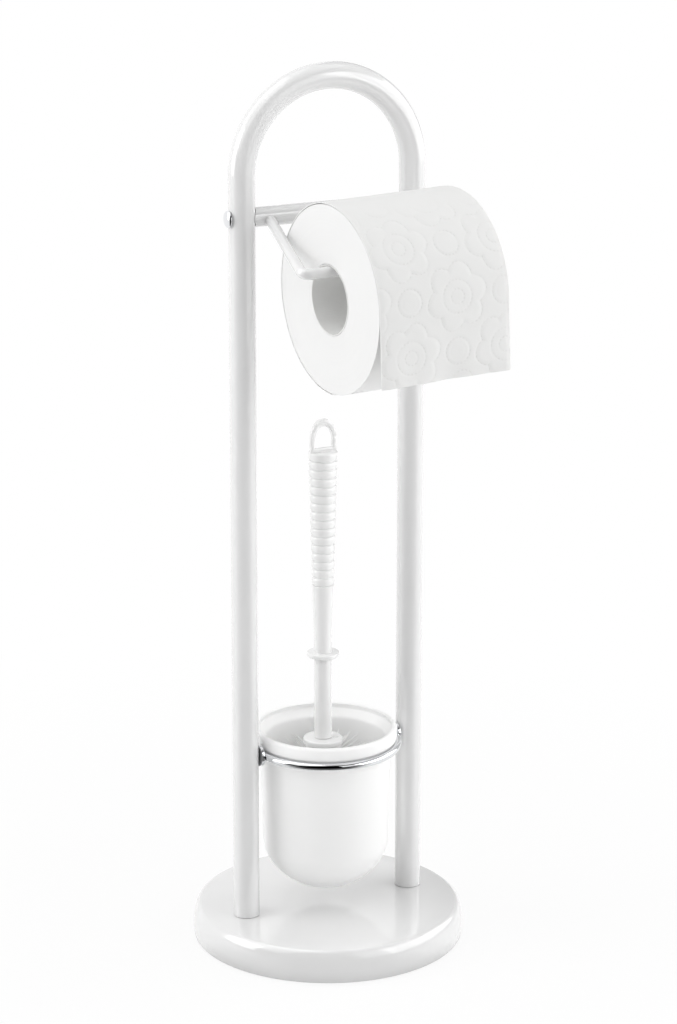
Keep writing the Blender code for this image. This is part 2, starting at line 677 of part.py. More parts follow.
def bowl_profile():
    """Line of the bowl: from its inner floor up the inside, over the lip and down to its foot."""
    neck_radius = RING_RADIUS - RING_SECTION_RADIUS - SEAT_GAP
    seat_height = RING_HEIGHT + RING_SECTION_RADIUS + SEAT_GAP
    lip_centre = (BOWL_RIM_RADIUS - BOWL_LIP_ROUND, BOWL_RIM_HEIGHT - BOWL_LIP_ROUND)
    lip = arc(lip_centre, BOWL_LIP_ROUND, BOWL_LIP_ROUND, math.radians(130), 0, 4)
    neck = [(BOWL_RIM_RADIUS - BOWL_LIP_ROUND / 2, seat_height + BOWL_LIP_ROUND / 2),
            (RING_RADIUS - RING_SECTION_RADIUS / 2, seat_height),
            (neck_radius, RING_HEIGHT + RING_SECTION_RADIUS / 2),
            (neck_radius, RING_HEIGHT - RING_SECTION_RADIUS),
            (BOWL_TOP_RADIUS, RING_HEIGHT - 3 * RING_SECTION_RADIUS)]
    outside = superellipse(BOWL_SHOULDER_RADIUS, BOWL_SHOULDER_HEIGHT, BOWL_SHOULDER_HEIGHT - BOWL_FOOT_HEIGHT)
    inside = superellipse(BOWL_SHOULDER_RADIUS - BOWL_WALL, BOWL_SHOULDER_HEIGHT,
                          BOWL_SHOULDER_HEIGHT - BOWL_FOOT_HEIGHT - BOWL_FLOOR)
    throat = [(BOWL_THROAT_RADIUS, BOWL_THROAT_HEIGHT), (BOWL_LIP_SLOPE_RADIUS, BOWL_LIP_SLOPE_HEIGHT)]
    upper_inside = [(BOWL_TOP_RADIUS - BOWL_WALL, RING_HEIGHT - RING_SECTION_RADIUS)]
    return inside[::-1] + upper_inside + throat + lip + neck + outside


def bowl_floor_height(radius):
    """Height of the bowl's inner surface at a radius, below its shoulder."""
    share = radius / (BOWL_SHOULDER_RADIUS - BOWL_WALL)
    drop = BOWL_SHOULDER_HEIGHT - BOWL_FOOT_HEIGHT - BOWL_FLOOR
    return BOWL_SHOULDER_HEIGHT - drop * (1 - share ** BOWL_FOOT_POWER) ** (1 / BOWL_FOOT_POWER)


def superellipse(radius, height, drop):
    """Quarter of a superellipse from the wall at a height down to the axis."""
    steps = 8
    points = []
    for step in range(steps + 1):
        angle = math.pi / 2 * step / steps
        across = math.cos(angle) ** (2 / BOWL_FOOT_POWER) if step < steps else 0.0
        down = math.sin(angle) ** (2 / BOWL_FOOT_POWER)
        points.append((radius * across, height - drop * down))
    return points


def build_bowl(builder, bowl_frame):
    """Frosted glass bowl that hangs in the ring by its lip."""
    bowl = builder.add("brush_bowl", profile_mesh("brush_bowl", bowl_profile()), "frosted_glass",
                       Matrix.Identity(4), bowl_frame)
    turn(bowl, BOWL_FACETS)


def grip_radius(height):
    """Radius of the grip at a height."""
    share = (HANDLE_TOP - height) / (HANDLE_TOP - GRIP_BOTTOM)
    return GRIP_TOP_RADIUS + (GRIP_BOTTOM_RADIUS - GRIP_TOP_RADIUS) * share


def handle_profile():
    """Outer line of the handle from its top to the end of its spigot."""
    points = [(0, HANDLE_TOP), (GRIP_TOP_RADIUS - GRIP_EDGE, HANDLE_TOP)]
    pitch = (HANDLE_TOP - GRIP_BOTTOM) / RIB_COUNT
    for rib in range(RIB_COUNT):
        rib_top = min(HANDLE_TOP - rib * pitch, HANDLE_TOP - GRIP_EDGE)
        rib_bottom = HANDLE_TOP - (rib + 1) * pitch + RIB_GROOVE_WIDTH
        groove = rib_bottom - RIB_GROOVE_WIDTH / 2
        points.append((grip_radius(rib_top), rib_top))
        points.append((grip_radius(rib_bottom), rib_bottom))
        points.append((grip_radius(groove) - RIB_GROOVE_DEPTH, groove))
    points.append((GRIP_BOTTOM_RADIUS, GRIP_BOTTOM))
    neck_middle = (GRIP_BOTTOM + NECK_BOTTOM) / 2
    points.append(((GRIP_BOTTOM_RADIUS + STEM_RADIUS) / 2, neck_middle))
    points.append((STEM_RADIUS, NECK_BOTTOM))
    splash_bottom = SPLASH_TOP - SPLASH_THICKNESS
    points.append((STEM_RADIUS, SPLASH_TOP))
    points.append((SPLASH_RADIUS - SPLASH_EDGE, SPLASH_TOP))
    points.append((SPLASH_RADIUS, SPLASH_TOP - SPLASH_EDGE))
    points.append((SPLASH_RADIUS, splash_bottom + SPLASH_EDGE))
    points.append((SPLASH_RADIUS - SPLASH_EDGE, splash_bottom))
    points.append((STEM_RADIUS, splash_bottom))
    stem_bottom = HUB_TOP + SEAT_GAP
    points.append((STEM_RADIUS, stem_bottom))
    points.append((SPIGOT_RADIUS, stem_bottom))
    points.append((SPIGOT_RADIUS, stem_bottom - SPIGOT_LENGTH))
    points.append((0, stem_bottom - SPIGOT_LENGTH))
    return points


def loop_outlines():
    """Outer edge and hole of the hanging loop, drawn up from the grip's top."""
    half = LOOP_WIDTH / 2
    spring = LOOP_HEIGHT - half * LOOP_CROWN
    edge = [(half, -GRIP_EDGE)] + arc((0, spring), half, half * LOOP_CROWN, 0, math.pi, 10) + [(-half, -GRIP_EDGE)]
    hole_half = half - LOOP_SIDE
    hole_top = LOOP_HEIGHT - LOOP_TOP_BAR
    hole_spring = spring - LOOP_SIDE / 2
    hole = [(hole_half, LOOP_SILL)]
    hole += arc((0, hole_spring), hole_half, hole_top - hole_spring, 0, math.pi, 10)
    hole += [(-hole_half, LOOP_SILL)]
    return [edge, hole]


def build_handle(builder, brush_frame):
    """Moulded handle: hanging loop, ribbed grip, splash disc and stem."""
    handle = builder.add("brush_handle", profile_mesh("brush_handle", handle_profile()), "white_plastic",
                         Matrix.Identity(4), brush_frame)
    turn(handle, GRIP_FACETS)
    loop = builder.add_cutter("handle_loop", outline_mesh("handle_loop", loop_outlines(), LOOP_THICKNESS),
                              place(z=HANDLE_TOP) @ Matrix.Rotation(math.pi / 2, 4, "X"), brush_frame)
    cut(handle, loop, "UNION")


def build_hub(builder, brush_frame):
    """Moulded hub that takes the handle's spigot and carries the bristle backing on its post."""
    socket = SPIGOT_RADIUS + THREAD_GAP
    socket_floor = HUB_TOP - SPIGOT_LENGTH - THREAD_GAP
    hub_bottom = HUB_TOP - HUB_THICKNESS
    profile = [(0, socket_floor), (socket, socket_floor), (socket, HUB_TOP), (HUB_RADIUS - HUB_EDGE, HUB_TOP),
               (HUB_RADIUS, HUB_TOP - HUB_EDGE), (HUB_RADIUS, hub_bottom), (POST_RADIUS, hub_bottom),
               (POST_RADIUS, POST_END_HEIGHT), (0, POST_END_HEIGHT)]
    turn(builder.add("brush_hub", profile_mesh("brush_hub", profile), "white_plastic", Matrix.Identity(4),
                     brush_frame), SHAFT_FACETS)


def boundary(bm):
    """Edges at the open rims of a mesh."""
    return [edge for edge in bm.edges if edge.is_boundary]


def extruded_verts(bm, edges):
    """Extrude edges and return their new vertices."""
    swept = bmesh.ops.extrude_edge_only(bm, edges=edges)["geom"]
    return [item for item in swept if isinstance(item, bmesh.types.BMVert)]


def bristle_tip(root, top, bottom):
    """Tip of the bristle that grows from a point of the backing, on the round-ended outline of the head."""
    share = (top - root.z) / (top - bottom)
    end_reach = BRISTLE_REACH * math.cos(BRISTLE_END_ANGLE)
    floor = bowl_floor_height(end_reach + abs(BRUSH_X)) + BRISTLE_SEAT_GAP
    if share < BRISTLE_KNEE_SHARE:
        reach = BRISTLE_REACH
        height = BRISTLE_TOP + (BOWL_SHOULDER_HEIGHT - BRISTLE_TOP) * share / BRISTLE_KNEE_SHARE
    else:
        angle = BRISTLE_END_ANGLE * (share - BRISTLE_KNEE_SHARE) / (1 - BRISTLE_KNEE_SHARE)
        reach = BRISTLE_REACH * math.cos(angle)
        height = BOWL_SHOULDER_HEIGHT - (BOWL_SHOULDER_HEIGHT - floor) * math.sin(angle) / math.sin(BRISTLE_END_ANGLE)
    out = Vector((root.x, root.y, 0)).normalized()
    return reach * out + Vector((0, 0, height))


def build_bristles(builder, brush_frame):
    """Backing sleeve whose facets are each drawn out into one three-sided bristle."""
    collar_top = HUB_TOP - HUB_THICKNESS - SEAT_GAP
    top = collar_top - BACKING_COLLAR
    bottom = collar_top - BACKING_LENGTH
    mesh = bpy.data.meshes.new("brush_bristles")
    bm = bmesh.new()
    bmesh.ops.create_grid(bm, x_segments=BRISTLE_COLUMNS, y_segments=BRISTLE_RINGS, size=1)
    for vert in bm.verts:
        angle = math.pi * vert.co.x
        height = bottom + (top - bottom) * (vert.co.y + 1) / 2
        vert.co = (BACKING_RADIUS * math.cos(angle), BACKING_RADIUS * math.sin(angle), height)
    bmesh.ops.remove_doubles(bm, verts=bm.verts, dist=MERGE)
    bmesh.ops.triangulate(bm, faces=bm.faces)
    bmesh.ops.recalc_face_normals(bm, faces=bm.faces)
    facets = bm.faces[:]
    bmesh.ops.inset_individual(bm, faces=facets, thickness=BRISTLE_INSET, use_even_offset=True)
    poked = bmesh.ops.poke(bm, faces=facets)
    for vert in poked["verts"]:
        vert.co = bristle_tip(vert.co.copy(), top, bottom)
    upper_rim = [edge for edge in bm.edges if edge.is_boundary and edge.verts[0].co.z > (top + bottom) / 2]
    for vert in extruded_verts(bm, upper_rim):
        vert.co.z = collar_top
    for vert in extruded_verts(bm, boundary(bm)):
        vert.co.xy = vert.co.xy.normalized() * (POST_RADIUS + SEAT_GAP)
    bmesh.ops.bridge_loops(bm, edges=boundary(bm))
    bmesh.ops.recalc_face_normals(bm, faces=bm.faces)
    bm.to_mesh(mesh)
    bm.free()
    builder.add("brush_bristles", mesh, "bristle", Matrix.Identity(4), brush_frame)


def build_all():
    """Build every piece of the object."""
    builder = Builder()
    build_base(builder)
    build_frame(builder)
    build_rail(builder)
    build_arm(builder)
    build_roll(builder)
    build_ring(builder)
    bowl_frame = builder.empty("bowl_axis", place(0, RING_SETBACK, 0))
    build_bowl(builder, bowl_frame)
    brush_frame = builder.empty("brush_axis", place(BRUSH_X, 0, 0), bowl_frame)
    build_handle(builder, brush_frame)
    build_hub(builder, brush_frame)
    build_bristles(builder, brush_frame)
    bpy.context.view_layer.update()


build_all()
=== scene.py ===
"""Finished surfaces of a free-standing toilet roll holder with a toilet brush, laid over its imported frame.

Metres, +Z up, origin on the floor at the centre of the base. X runs along the cross rail and -Y is the front.
"""
from math import acos, cos, pi, radians, sin, sqrt, tan

import bmesh
import bpy
import numpy as np
from bpy.props import FloatProperty, FloatVectorProperty, IntProperty
from bpy.types import NodeSocket, Operator, Panel, PropertyGroup
from mathutils import Matrix, Vector


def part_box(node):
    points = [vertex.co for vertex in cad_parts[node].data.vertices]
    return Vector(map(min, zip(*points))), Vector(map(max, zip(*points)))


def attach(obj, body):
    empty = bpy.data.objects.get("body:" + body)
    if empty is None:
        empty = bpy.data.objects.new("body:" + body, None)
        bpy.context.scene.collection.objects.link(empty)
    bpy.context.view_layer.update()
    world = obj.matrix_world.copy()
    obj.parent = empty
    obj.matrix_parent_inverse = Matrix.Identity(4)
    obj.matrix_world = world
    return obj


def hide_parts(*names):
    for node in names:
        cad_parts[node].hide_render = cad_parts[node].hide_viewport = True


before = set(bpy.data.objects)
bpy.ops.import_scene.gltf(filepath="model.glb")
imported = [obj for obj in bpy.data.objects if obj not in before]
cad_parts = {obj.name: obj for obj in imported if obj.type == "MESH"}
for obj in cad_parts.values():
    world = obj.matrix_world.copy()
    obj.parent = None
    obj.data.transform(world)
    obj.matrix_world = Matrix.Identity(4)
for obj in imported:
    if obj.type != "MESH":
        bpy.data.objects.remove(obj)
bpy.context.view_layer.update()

bl_info = {
    "name": "Toilet Roll Holder",
    "version": (1, 0, 0),
    "blender": (4, 5, 0),
    "location": "3D View > Sidebar > Roll Holder",
    "description": "Makes the finished surfaces of a free-standing toilet roll holder with a brush",
    "category": "Add Mesh",
}

SIDES = {"left": -1.0, "right": 1.0}
CLOSED = (True, True)
SEAT_GAP = 0.0003
MERGE = 0.0000005
SHARP = radians(32)

# Base
BASE_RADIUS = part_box("base_shell")[1].x
BASE_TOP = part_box("base_shell")[1].z
BASE_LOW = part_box("base_shell")[0].z
BASE_EDGE_RUN = 0.0062
BASE_EDGE_DROP = 0.016
BASE_TAPER = 0.0008
BASE_LIP = 0.0004
SHELL_WALL = 0.0015

# Arch and rail
UPRIGHT_X = 0.0663
TUBE_RADIUS = 0.0095
TUBE_WALL = 0.0012
ARCH_CENTRE = 0.5717
RAIL_HEIGHT = 0.543
RAIL_RADIUS = 0.007
RAIL_WALL = 0.001
CAP_RADIUS = 0.006
CAP_RISE = 0.003
CAP_EDGE = 0.0008
CAP_BEVEL = (0.0003, 0.0002)
CAP_SHANK_RADIUS = 0.0029
CAP_SHANK = 0.0395

# Roll and arm, in the roll's frame: X along its axle from its left face
ROLL_FRAME = (Matrix.Translation((-0.0417, -0.088, 0.5002)) @ Matrix.Rotation(radians(4.4), 4, "Z")
              @ Matrix.Rotation(radians(-1.15), 4, "Y"))
ROLL_RADIUS = 0.0656
ROLL_WIDTH = 0.1014
ARM_RADIUS = 0.00375
ARM_ROOT_X = -0.0463
ARM_CORNER = 0.02
ARM_BEND = 0.0055
ARM_REACH = 0.0115
ARM_END = 0.0012
CORE_BORE = 0.0236
CORE_WALL = 0.0008
SEAM_PITCH = 0.062
SEAM_GIRTH = 0.148
SEAM_WIDTH = 0.0009
SEAM_DEPTH = 0.00022
WOUND_EDGE = 0.0012
WOUND_EASE = 0.00012
WOUND_GAP = 0.00003
WOUND_INSET = 0.0001
TURN_PITCH = 0.00042
RIPPLES = np.array([0.0217, 0.0131, 0.0083, 0.0052, 0.0034, 0.0021])
RIPPLE_SHARE = 0.0012

# Hanging sheet. A wave is its height, its length and its start.
PAPER_THICKNESS = 0.0005
ARC_LENGTH = 1.5 * pi * ROLL_RADIUS
TAIL_DROP = 0.0487
TAIL_EASE = 0.004
RIPPLE_HEIGHT = 0.00012
RIPPLE_LENGTHS = (0.037, 0.029)
RIPPLE_WARP = (3.1, 0.021)
DRIFT_WAVES = ((0.0009, 0.083, 0.6), (0.0005, 0.031, 0.0))
DRIFT_POWER = 1.5
DRIFT = 0.0004

# Embossing. Rises and depths are shares of its height. A ring is its radius, its width and its depth.
MOTIF_START = (0.023, 0.265)
PETALS = 6
PETAL_NOTCH = 0.0185
PETAL_BULGE = 0.0052
PETAL_SLOPE = 0.0042
PETAL_RINGS = ((0.0112, 0.001, 0.45), (0.005, 0.0009, 0.35))
DISC_RADIUS = 0.0092
DISC_SLOPE = 0.003
DISC_RISE = 0.7
DISC_RING = (0.006, 0.0008, 0.3)
OUTLINE_WIDTH = 0.0009
OUTLINE_DEPTH = 0.4
FIELD_RISE = 0.4
EMBOSS_HEIGHT = 0.00042
SMOOTH_LENGTH = 0.2
SMOOTH_FADE = (0.022, 0.048)
SMOOTH_ROWS = (0.15, 0.228)
DOT_WIDTH = 0.0011
# Painted highlight: over the last fraction of a millimetre at the sheet's cut edges its colour turns lighter,
# standing in for light caught along the edge.
PAINTED_EDGE_HIGHLIGHT = (0.9, 0.9, 0.895)
EDGE_HIGHLIGHT_FADE = (0.0003, 0.0001)

# Ring and bowl. Bends are the setbacks of an outline's corners in turn.
RING_HEIGHT = 0.1465
RING_SETBACK = 0.004
RING_RADIUS = 0.053
RING_SECTION = 0.00285
FLANGE_RADIUS = 0.008
FLANGE_THICKNESS = 0.0027
FLANGE_BORE = 0.0019
FLANGE_BENDS = (0.0002, 0.0009, 0.0006, 0.0003)
BOSS_RADIUS = 0.006
BOSS_LENGTH = 0.0016
BOSS_WALL = 0.0008
BOWL_FOOT = 0.035
BOWL_SHOULDER = (0.046, 0.0715)
BOWL_TOP_RADIUS = 0.0478
BOWL_THROAT = (0.0446, 0.1505)
BOWL_FLARE = (0.05, 0.156)
BOWL_RIM_RADIUS = 0.0523
BOWL_RIM_HEIGHT = 0.1598
BOWL_RIM_SIDE = 0.0012
BOWL_LIP = 0.0022
BOWL_INNER_BENDS = (0.004, 0.0015, 0.0008)
BOWL_OUTER_BENDS = (0.0008, 0.0008, 0.0006, 0.001, 0.003)
BOWL_WALL = 0.0036
BOWL_FLOOR = 0.005
BOWL_POWER = 1.8

# Brush. A rib is points of its share of the pitch down and its share of the depth out.
BRUSH_CENTRE = (-0.002, RING_SETBACK, 0)
GRIP_TOP = 0.3676
GRIP_LOW = 0.2677
GRIP_TOP_RADIUS = 0.0108
GRIP_LOW_RADIUS = 0.0081
GRIP_FLAT = 0.006
GRIP_EDGE = 0.001
RIB_COUNT = 16
RIB_DEPTH = 0.0012
RIB = np.array([(0, 0), (0.06, 0.55), (0.16, 0.85), (0.35, 1), (0.6, 1), (0.8, 0.8), (0.9, 0.45), (0.95, 0)])
NECK_LOW = 0.2225
STEM_RADIUS = 0.0065
SPLASH_TOP = 0.2168
SPLASH_THICKNESS = 0.0034
SPLASH_RADIUS = 0.0119
HANDLE_BENDS = (0.0002, 0.012, 0.0006, 0.0012, 0.0012, 0.0006, 0.0002, 0.0002, 0.0004)
LOOP_HEIGHT = 0.0241
LOOP_WIDTH = 0.0205
LOOP_THICKNESS = 0.0035
LOOP_SIDE = 0.0034
LOOP_TOP_BAR = 0.0055
LOOP_SILL = 0.0028
LOOP_CROWN = 1.3
SPIGOT_RADIUS = 0.004
SPIGOT_LENGTH = 0.013
HUB_TOP = 0.1509
HUB_RADIUS = 0.0146
HUB_THICKNESS = 0.01
HUB_BAND = (0.0036, 0.004)
HUB_STEP = 0.0012
HUB_FLAT = (0.0006, 0.002)
HUB_BENDS = (0.0002, 0.0003, 0.0016, 0.0003, 0.0003, 0.0009, 0.0004, 0.0006)
DIMPLE = (0.0088, -0.0022)
DIMPLE_WIDTH = 0.0021
DIMPLE_DEPTH = 0.0011
POST_RADIUS = 0.007
POST_LOW = 0.06
SLEEVE_TOP = HUB_TOP - HUB_THICKNESS - SEAT_GAP
SLEEVE_RADIUS = 0.0105
SLEEVE_LENGTH = 0.078
SLEEVE_COLLAR = 0.0045
SLEEVE_BENDS = (0.0003, 0.0009)
STRAND_REACH = 0.038
STRAND_TOP = 0.1435
STRAND_KNEE = 0.6
STRAND_END_ANGLE = radians(72.0)
STRAND_ROOT = 0.97
STRAND_FLOOR_GAP = 0.0008
STRAND_SCATTER = (0.42, 0.38)
STRAND_SWAY = 0.045
STRAND_TRIM = 0.06
STRAND_RISE = 0.02
STRAND_BULGE = 0.002
STRAND_RADIUS = 0.0003
STRAND_TAPER = 0.25
STRAND_ROWS = 7

# Camera
VIEW_AZIMUTH = radians(-25.98)
VIEW_WAY = VIEW_AZIMUTH + pi / 2
VIEW_ELEVATION = radians(15.54)
VIEW_TARGET = Vector((0.0, 0.0, 0.35))
VIEW_DISTANCE = 2.327
VIEW_LENS = 114.26
VIEW_SHIFT = (0.01033, -0.0352)

# Studio. A lamp is its azimuth and elevation in degrees, its width, height and share of the lamps' power.
LAMPS = {
    "left_lamp": (-105, 18, 1.2, 1.3, 0.71),
    "high_left_lamp": (-95, 50, 2.4, 2.4, 1.05),
    "top_lamp": (-30, 87, 2.2, 2.2, 0.42),
    "near_right_lamp": (15, 18, 1.2, 1.3, 0.26),
    "right_lamp": (50, 18, 1.8, 1.5, 0.92),
    "far_right_lamp": (90, 18, 1.2, 1.3, 0.52),
}
LAMP_TARGET = Vector((0, 0, 0.32))
LAMP_DISTANCE = 2.0
FLOOR_COLOUR = (0.88, 0.88, 0.88)
FLOOR_RADIUS = 6.0
FLOOR_DROP = 0.0002
FLOOR_FADE = (0.15, 0.7, 0.88, 1.0)
FLOOR_BEHIND = (-0.9, -0.2)
WORLD_BEHIND = (-0.6, 0.2)
WORLD_PANEL = (0.022, 0.034, 1.0, 0.55)


# Shapes

def ramp(start, end, count):
    """Evenly spaced values with both ends included."""
    return np.linspace(start, end, count)


def around(count):
    """Even angles of one turn."""
    return 2 * pi * np.arange(count) / count


def spread(*values):
    """Points made of coordinates that are first spread to one shape."""
    return np.stack(np.broadcast_arrays(*values), -1)


def polar(radius, angle, height):
    """Points at a radius and an angle round Z."""
    return spread(radius * np.cos(angle), radius * np.sin(angle), height)


def unit(vectors):
    """Vectors over their lengths."""
    return vectors / np.linalg.norm(vectors, axis=-1, keepdims=True)


def parabola(t, start, corner, end):
    """Quadratic curve: (1 - t)^2 start + 2 t (1 - t) corner + t^2 end."""
    return (1 - t) ** 2 * start + 2 * t * (1 - t) * corner + t ** 2 * end


def eased(value, low, high):
    """Smooth step: 3 t^2 - 2 t^3 of the share t of the way from low to high, held between 0 and 1."""
    t = np.clip((value - low) / (high - low), 0, 1)
    return t * t * (3 - 2 * t)


def bell(offset, width):
    """Bell curve of an offset over a width."""
    return np.exp(-(offset / width) ** 2)


def arc(centre, radius_x, radius_y, start, end, count):
    """Points of an ellipse: its centre plus each radius times the cosine or the sine of an even angle."""
    angle = ramp(start, end, count)
    return spread(centre[0] + radius_x * np.cos(angle), centre[1] + radius_y * np.sin(angle))


def rounded(points, setbacks, steps=7):
    """Line with its corners eased: each gives way to a parabola between its sides, a setback away on each."""
    points = np.asarray(points, float)
    setbacks = np.asarray(setbacks, float)[:, None]
    before, corner, after = points[:-2], points[1:-1], points[2:]
    start, end = (corner + unit(side - corner) * setbacks for side in (before, after))
    eased_corners = parabola(ramp(0, 1, steps)[None, :, None], start[:, None], corner[:, None], end[:, None])
    return np.vstack([points[:1], eased_corners.reshape(-1, points.shape[1]), points[-1:]])


def spun(profile, columns):
    """Surface of revolution: each (radius, height) of the profile carried round Z."""
    return polar(profile[:, 0, None], around(columns), profile[:, 1, None])


def laid(profile, columns, seat, height, sign):
    """Surface of revolution laid along X at a height, its +Z pointing out at the left or the right."""
    turn = Matrix.Rotation(sign * pi / 2, 4, "Y")
    return placed(spun(profile, columns), Matrix.Translation((sign * seat, 0, height)) @ turn)


def rod(path, across, radius, columns):
    """Round section carried along a path in a plane: the path point, plus the radius times the cosine of the
    angle along the plane's normal, plus the radius times its sine along the line square to the path."""
    inward = np.cross(across, unit(np.gradient(path, axis=0)))
    turn = around(columns)[:, None]
    return path[:, None] + radius * np.cos(turn) * across + radius * np.sin(turn) * inward[:, None]


def walled(outer, inner):
    """Two skins joined at their ends, so that they wrap into one wall."""
    return np.concatenate([outer, inner[::-1]])


def placed(points, matrix):
    """Points carried by a matrix."""
    matrix = np.array(matrix)
    return points @ matrix[:3, :3].T + matrix[:3, 3]


# Meshes

def grid_quads(rows, columns):
    """Rows and columns of each quad's corners: a point, the next in its row and the two in the next row."""
    row, column = np.indices((rows, columns)).reshape(2, -1, 1)
    return row + np.array([0, 0, 1, 1]), column + np.array([0, 1, 1, 0])


def add_surface(name, points, wrap=(False, True), uv=None, sharp=SHARP):
    """Mesh of a grid of points, in which a wrapped side joins back to its start."""
    rows, columns = points.shape[:2]
    row, column = grid_quads(rows if wrap[0] else rows - 1, columns if wrap[1] else columns - 1)
    corners = None if uv is None else np.stack([uv[0][column], uv[1][row]], -1)
    return add_mesh(name, points, ((row % rows) * columns + column % columns).tolist(), sharp, corners)


def add_mesh(name, points, faces, sharp, uv=None):
    """Mesh whose equal points are merged. It faces outwards where it is closed, and is shaded smooth up to an
    angle and up to its border."""
    mesh = bpy.data.meshes.new(name)
    mesh.from_pydata(points.reshape(-1, 3).tolist(), [], faces)
    if uv is not None:
        mesh.uv_layers.new(name="surface").data.foreach_set("uv", uv.astype(np.float32).ravel())
    work = bmesh.new()
    work.from_mesh(mesh)
    bmesh.ops.remove_doubles(work, verts=work.verts, dist=MERGE)
    border = np.array([edge.is_boundary for edge in work.edges])
    if not border.any() and work.calc_volume(signed=True) < 0:
        bmesh.ops.reverse_faces(work, faces=work.faces)
    work.to_mesh(mesh)
    work.free()
    mesh.shade_smooth()
    mesh.set_sharp_from_angle(angle=sharp)
    edges = np.zeros(len(border), bool)
    mesh.edges.foreach_get("use_edge_sharp", edges)
    mesh.edges.foreach_set("use_edge_sharp", edges | border)
    piece = bpy.data.objects.new(name, mesh)
    bpy.context.scene.collection.objects.link(piece)
    return piece


def dress(piece, body, material, nodes=()):
    """Give a piece its finish, its body and the frame nodes that it stands for."""
    piece.data.materials.append(material)
    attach(piece, body)
    if nodes:
        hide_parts(*nodes)


def make(name, points, body, material, slot, nodes=(), **grid):
    """Add a surface and dress it."""
    dress(add_surface(name, points, **grid), body, material, nodes)


# Shader nodes

def set_inputs(node, inputs):
    """Link or set a node's inputs by name or number. A colour may leave out its alpha."""
    for key, value in inputs.items():
        socket = node.inputs[key]
        if isinstance(value, NodeSocket):
            node.id_data.links.new(value, socket)
        else:
            socket.default_value = (*value, 1.0) if socket.type == "RGBA" else value


def add_node(tree, kind, inputs=None, **settings):
    """Add a shader node, set its properties, link or set its inputs, and return its outputs."""
    made = tree.nodes.new("ShaderNode" + kind)
    for key, value in settings.items():
        setattr(made, key, value)
    set_inputs(made, inputs or {})
    return made.outputs


def maths(tree, operation, *values):
    """Result of a Math node."""
    return add_node(tree, "Math", dict(enumerate(values)), operation=operation)[0]


def off_from(tree, value, middle):
    """How far a value lies from a middle, either way."""
    return maths(tree, "ABSOLUTE", maths(tree, "SUBTRACT", value, middle))


def vector_maths(tree, operation, *values):
    """Outputs of a Vector Math node."""
    return add_node(tree, "VectorMath", dict(enumerate(values)), operation=operation)


def mapped(tree, vector, **settings):
    """Vector moved, turned or scaled by a Mapping node."""
    return add_node(tree, "Mapping", {"Vector": vector, **settings})[0]


def split(tree, vector):
    """X, Y and Z of a vector."""
    return add_node(tree, "SeparateXYZ", {"Vector": vector})


def smooth(tree, value, low, high, to_low=0.0, to_high=1.0):
    """Value taken smoothly from one range to another."""
    return add_node(tree, "MapRange", {
        "Value": value, "From Min": low, "From Max": high, "To Min": to_low, "To Max": to_high,
    }, interpolation_type="SMOOTHSTEP")["Result"]


def noise(tree, vector, scale, detail):
    """Noise of a vector."""
    return add_node(tree, "TexNoise", {"Vector": vector, "Scale": scale, "Detail": detail})["Fac"]


def blend(tree, factor, first, second):
    """Mix of two colours, which are a Mix node's inputs 6 and 7."""
    made = add_node(tree, "Mix", {"Factor": factor, 6: first, 7: second}, data_type="RGBA")
    return next(socket for socket in made if socket.type == "RGBA")


def bump(tree, height, strength, distance):
    """Normal of a height."""
    return add_node(tree, "Bump", {"Height": height, "Strength": strength, "Distance": distance})["Normal"]


def object_coordinates(tree):
    """Object coordinates."""
    return add_node(tree, "TexCoord")["Object"]


def new_group(name, inputs, outputs):
    """Start a shader group and return it with its inner ends. An input without a default is a vector, and
    every other input and output is a number."""
    group = bpy.data.node_groups.new(name, "ShaderNodeTree")
    for label, default in inputs.items():
        kind = "NodeSocketVector" if default is None else "NodeSocketFloat"
        socket = group.interface.new_socket(label, in_out="INPUT", socket_type=kind)
        if default is not None:
            socket.default_value = default
    for label in outputs:
        group.interface.new_socket(label, in_out="OUTPUT", socket_type="NodeSocketFloat")
    return group, group.nodes.new("NodeGroupInput").outputs, group.nodes.new("NodeGroupOutput")


def grain_group():
    """Fine two-scale grain: a height for bump, and a tone and a roughness that drift with a broad noise."""
    name = "surface grain"
    if name in bpy.data.node_groups:
        return bpy.data.node_groups[name]
    tree, given, out = new_group(
        name, {"Vector": None, "Scale": 500.0, "Low Roughness": 0.2, "High Roughness": 0.3},
        ["Height", "Roughness", "Tone"])
    coarse = noise(tree, given["Vector"], given["Scale"], 2.0)
    fine = noise(tree, given["Vector"], maths(tree, "MULTIPLY", given["Scale"], 4.3), 3.0)
    tone = smooth(tree, noise(tree, given["Vector"], 22.0, 4.0), 0.3, 0.7)
    span = maths(tree, "SUBTRACT", given["High Roughness"], given["Low Roughness"])
    set_inputs(out, {"Height": maths(tree, "MULTIPLY_ADD", fine, 0.35, coarse), "Tone": tone,
                     "Roughness": maths(tree, "MULTIPLY_ADD", tone, span, given["Low Roughness"])})
    return tree


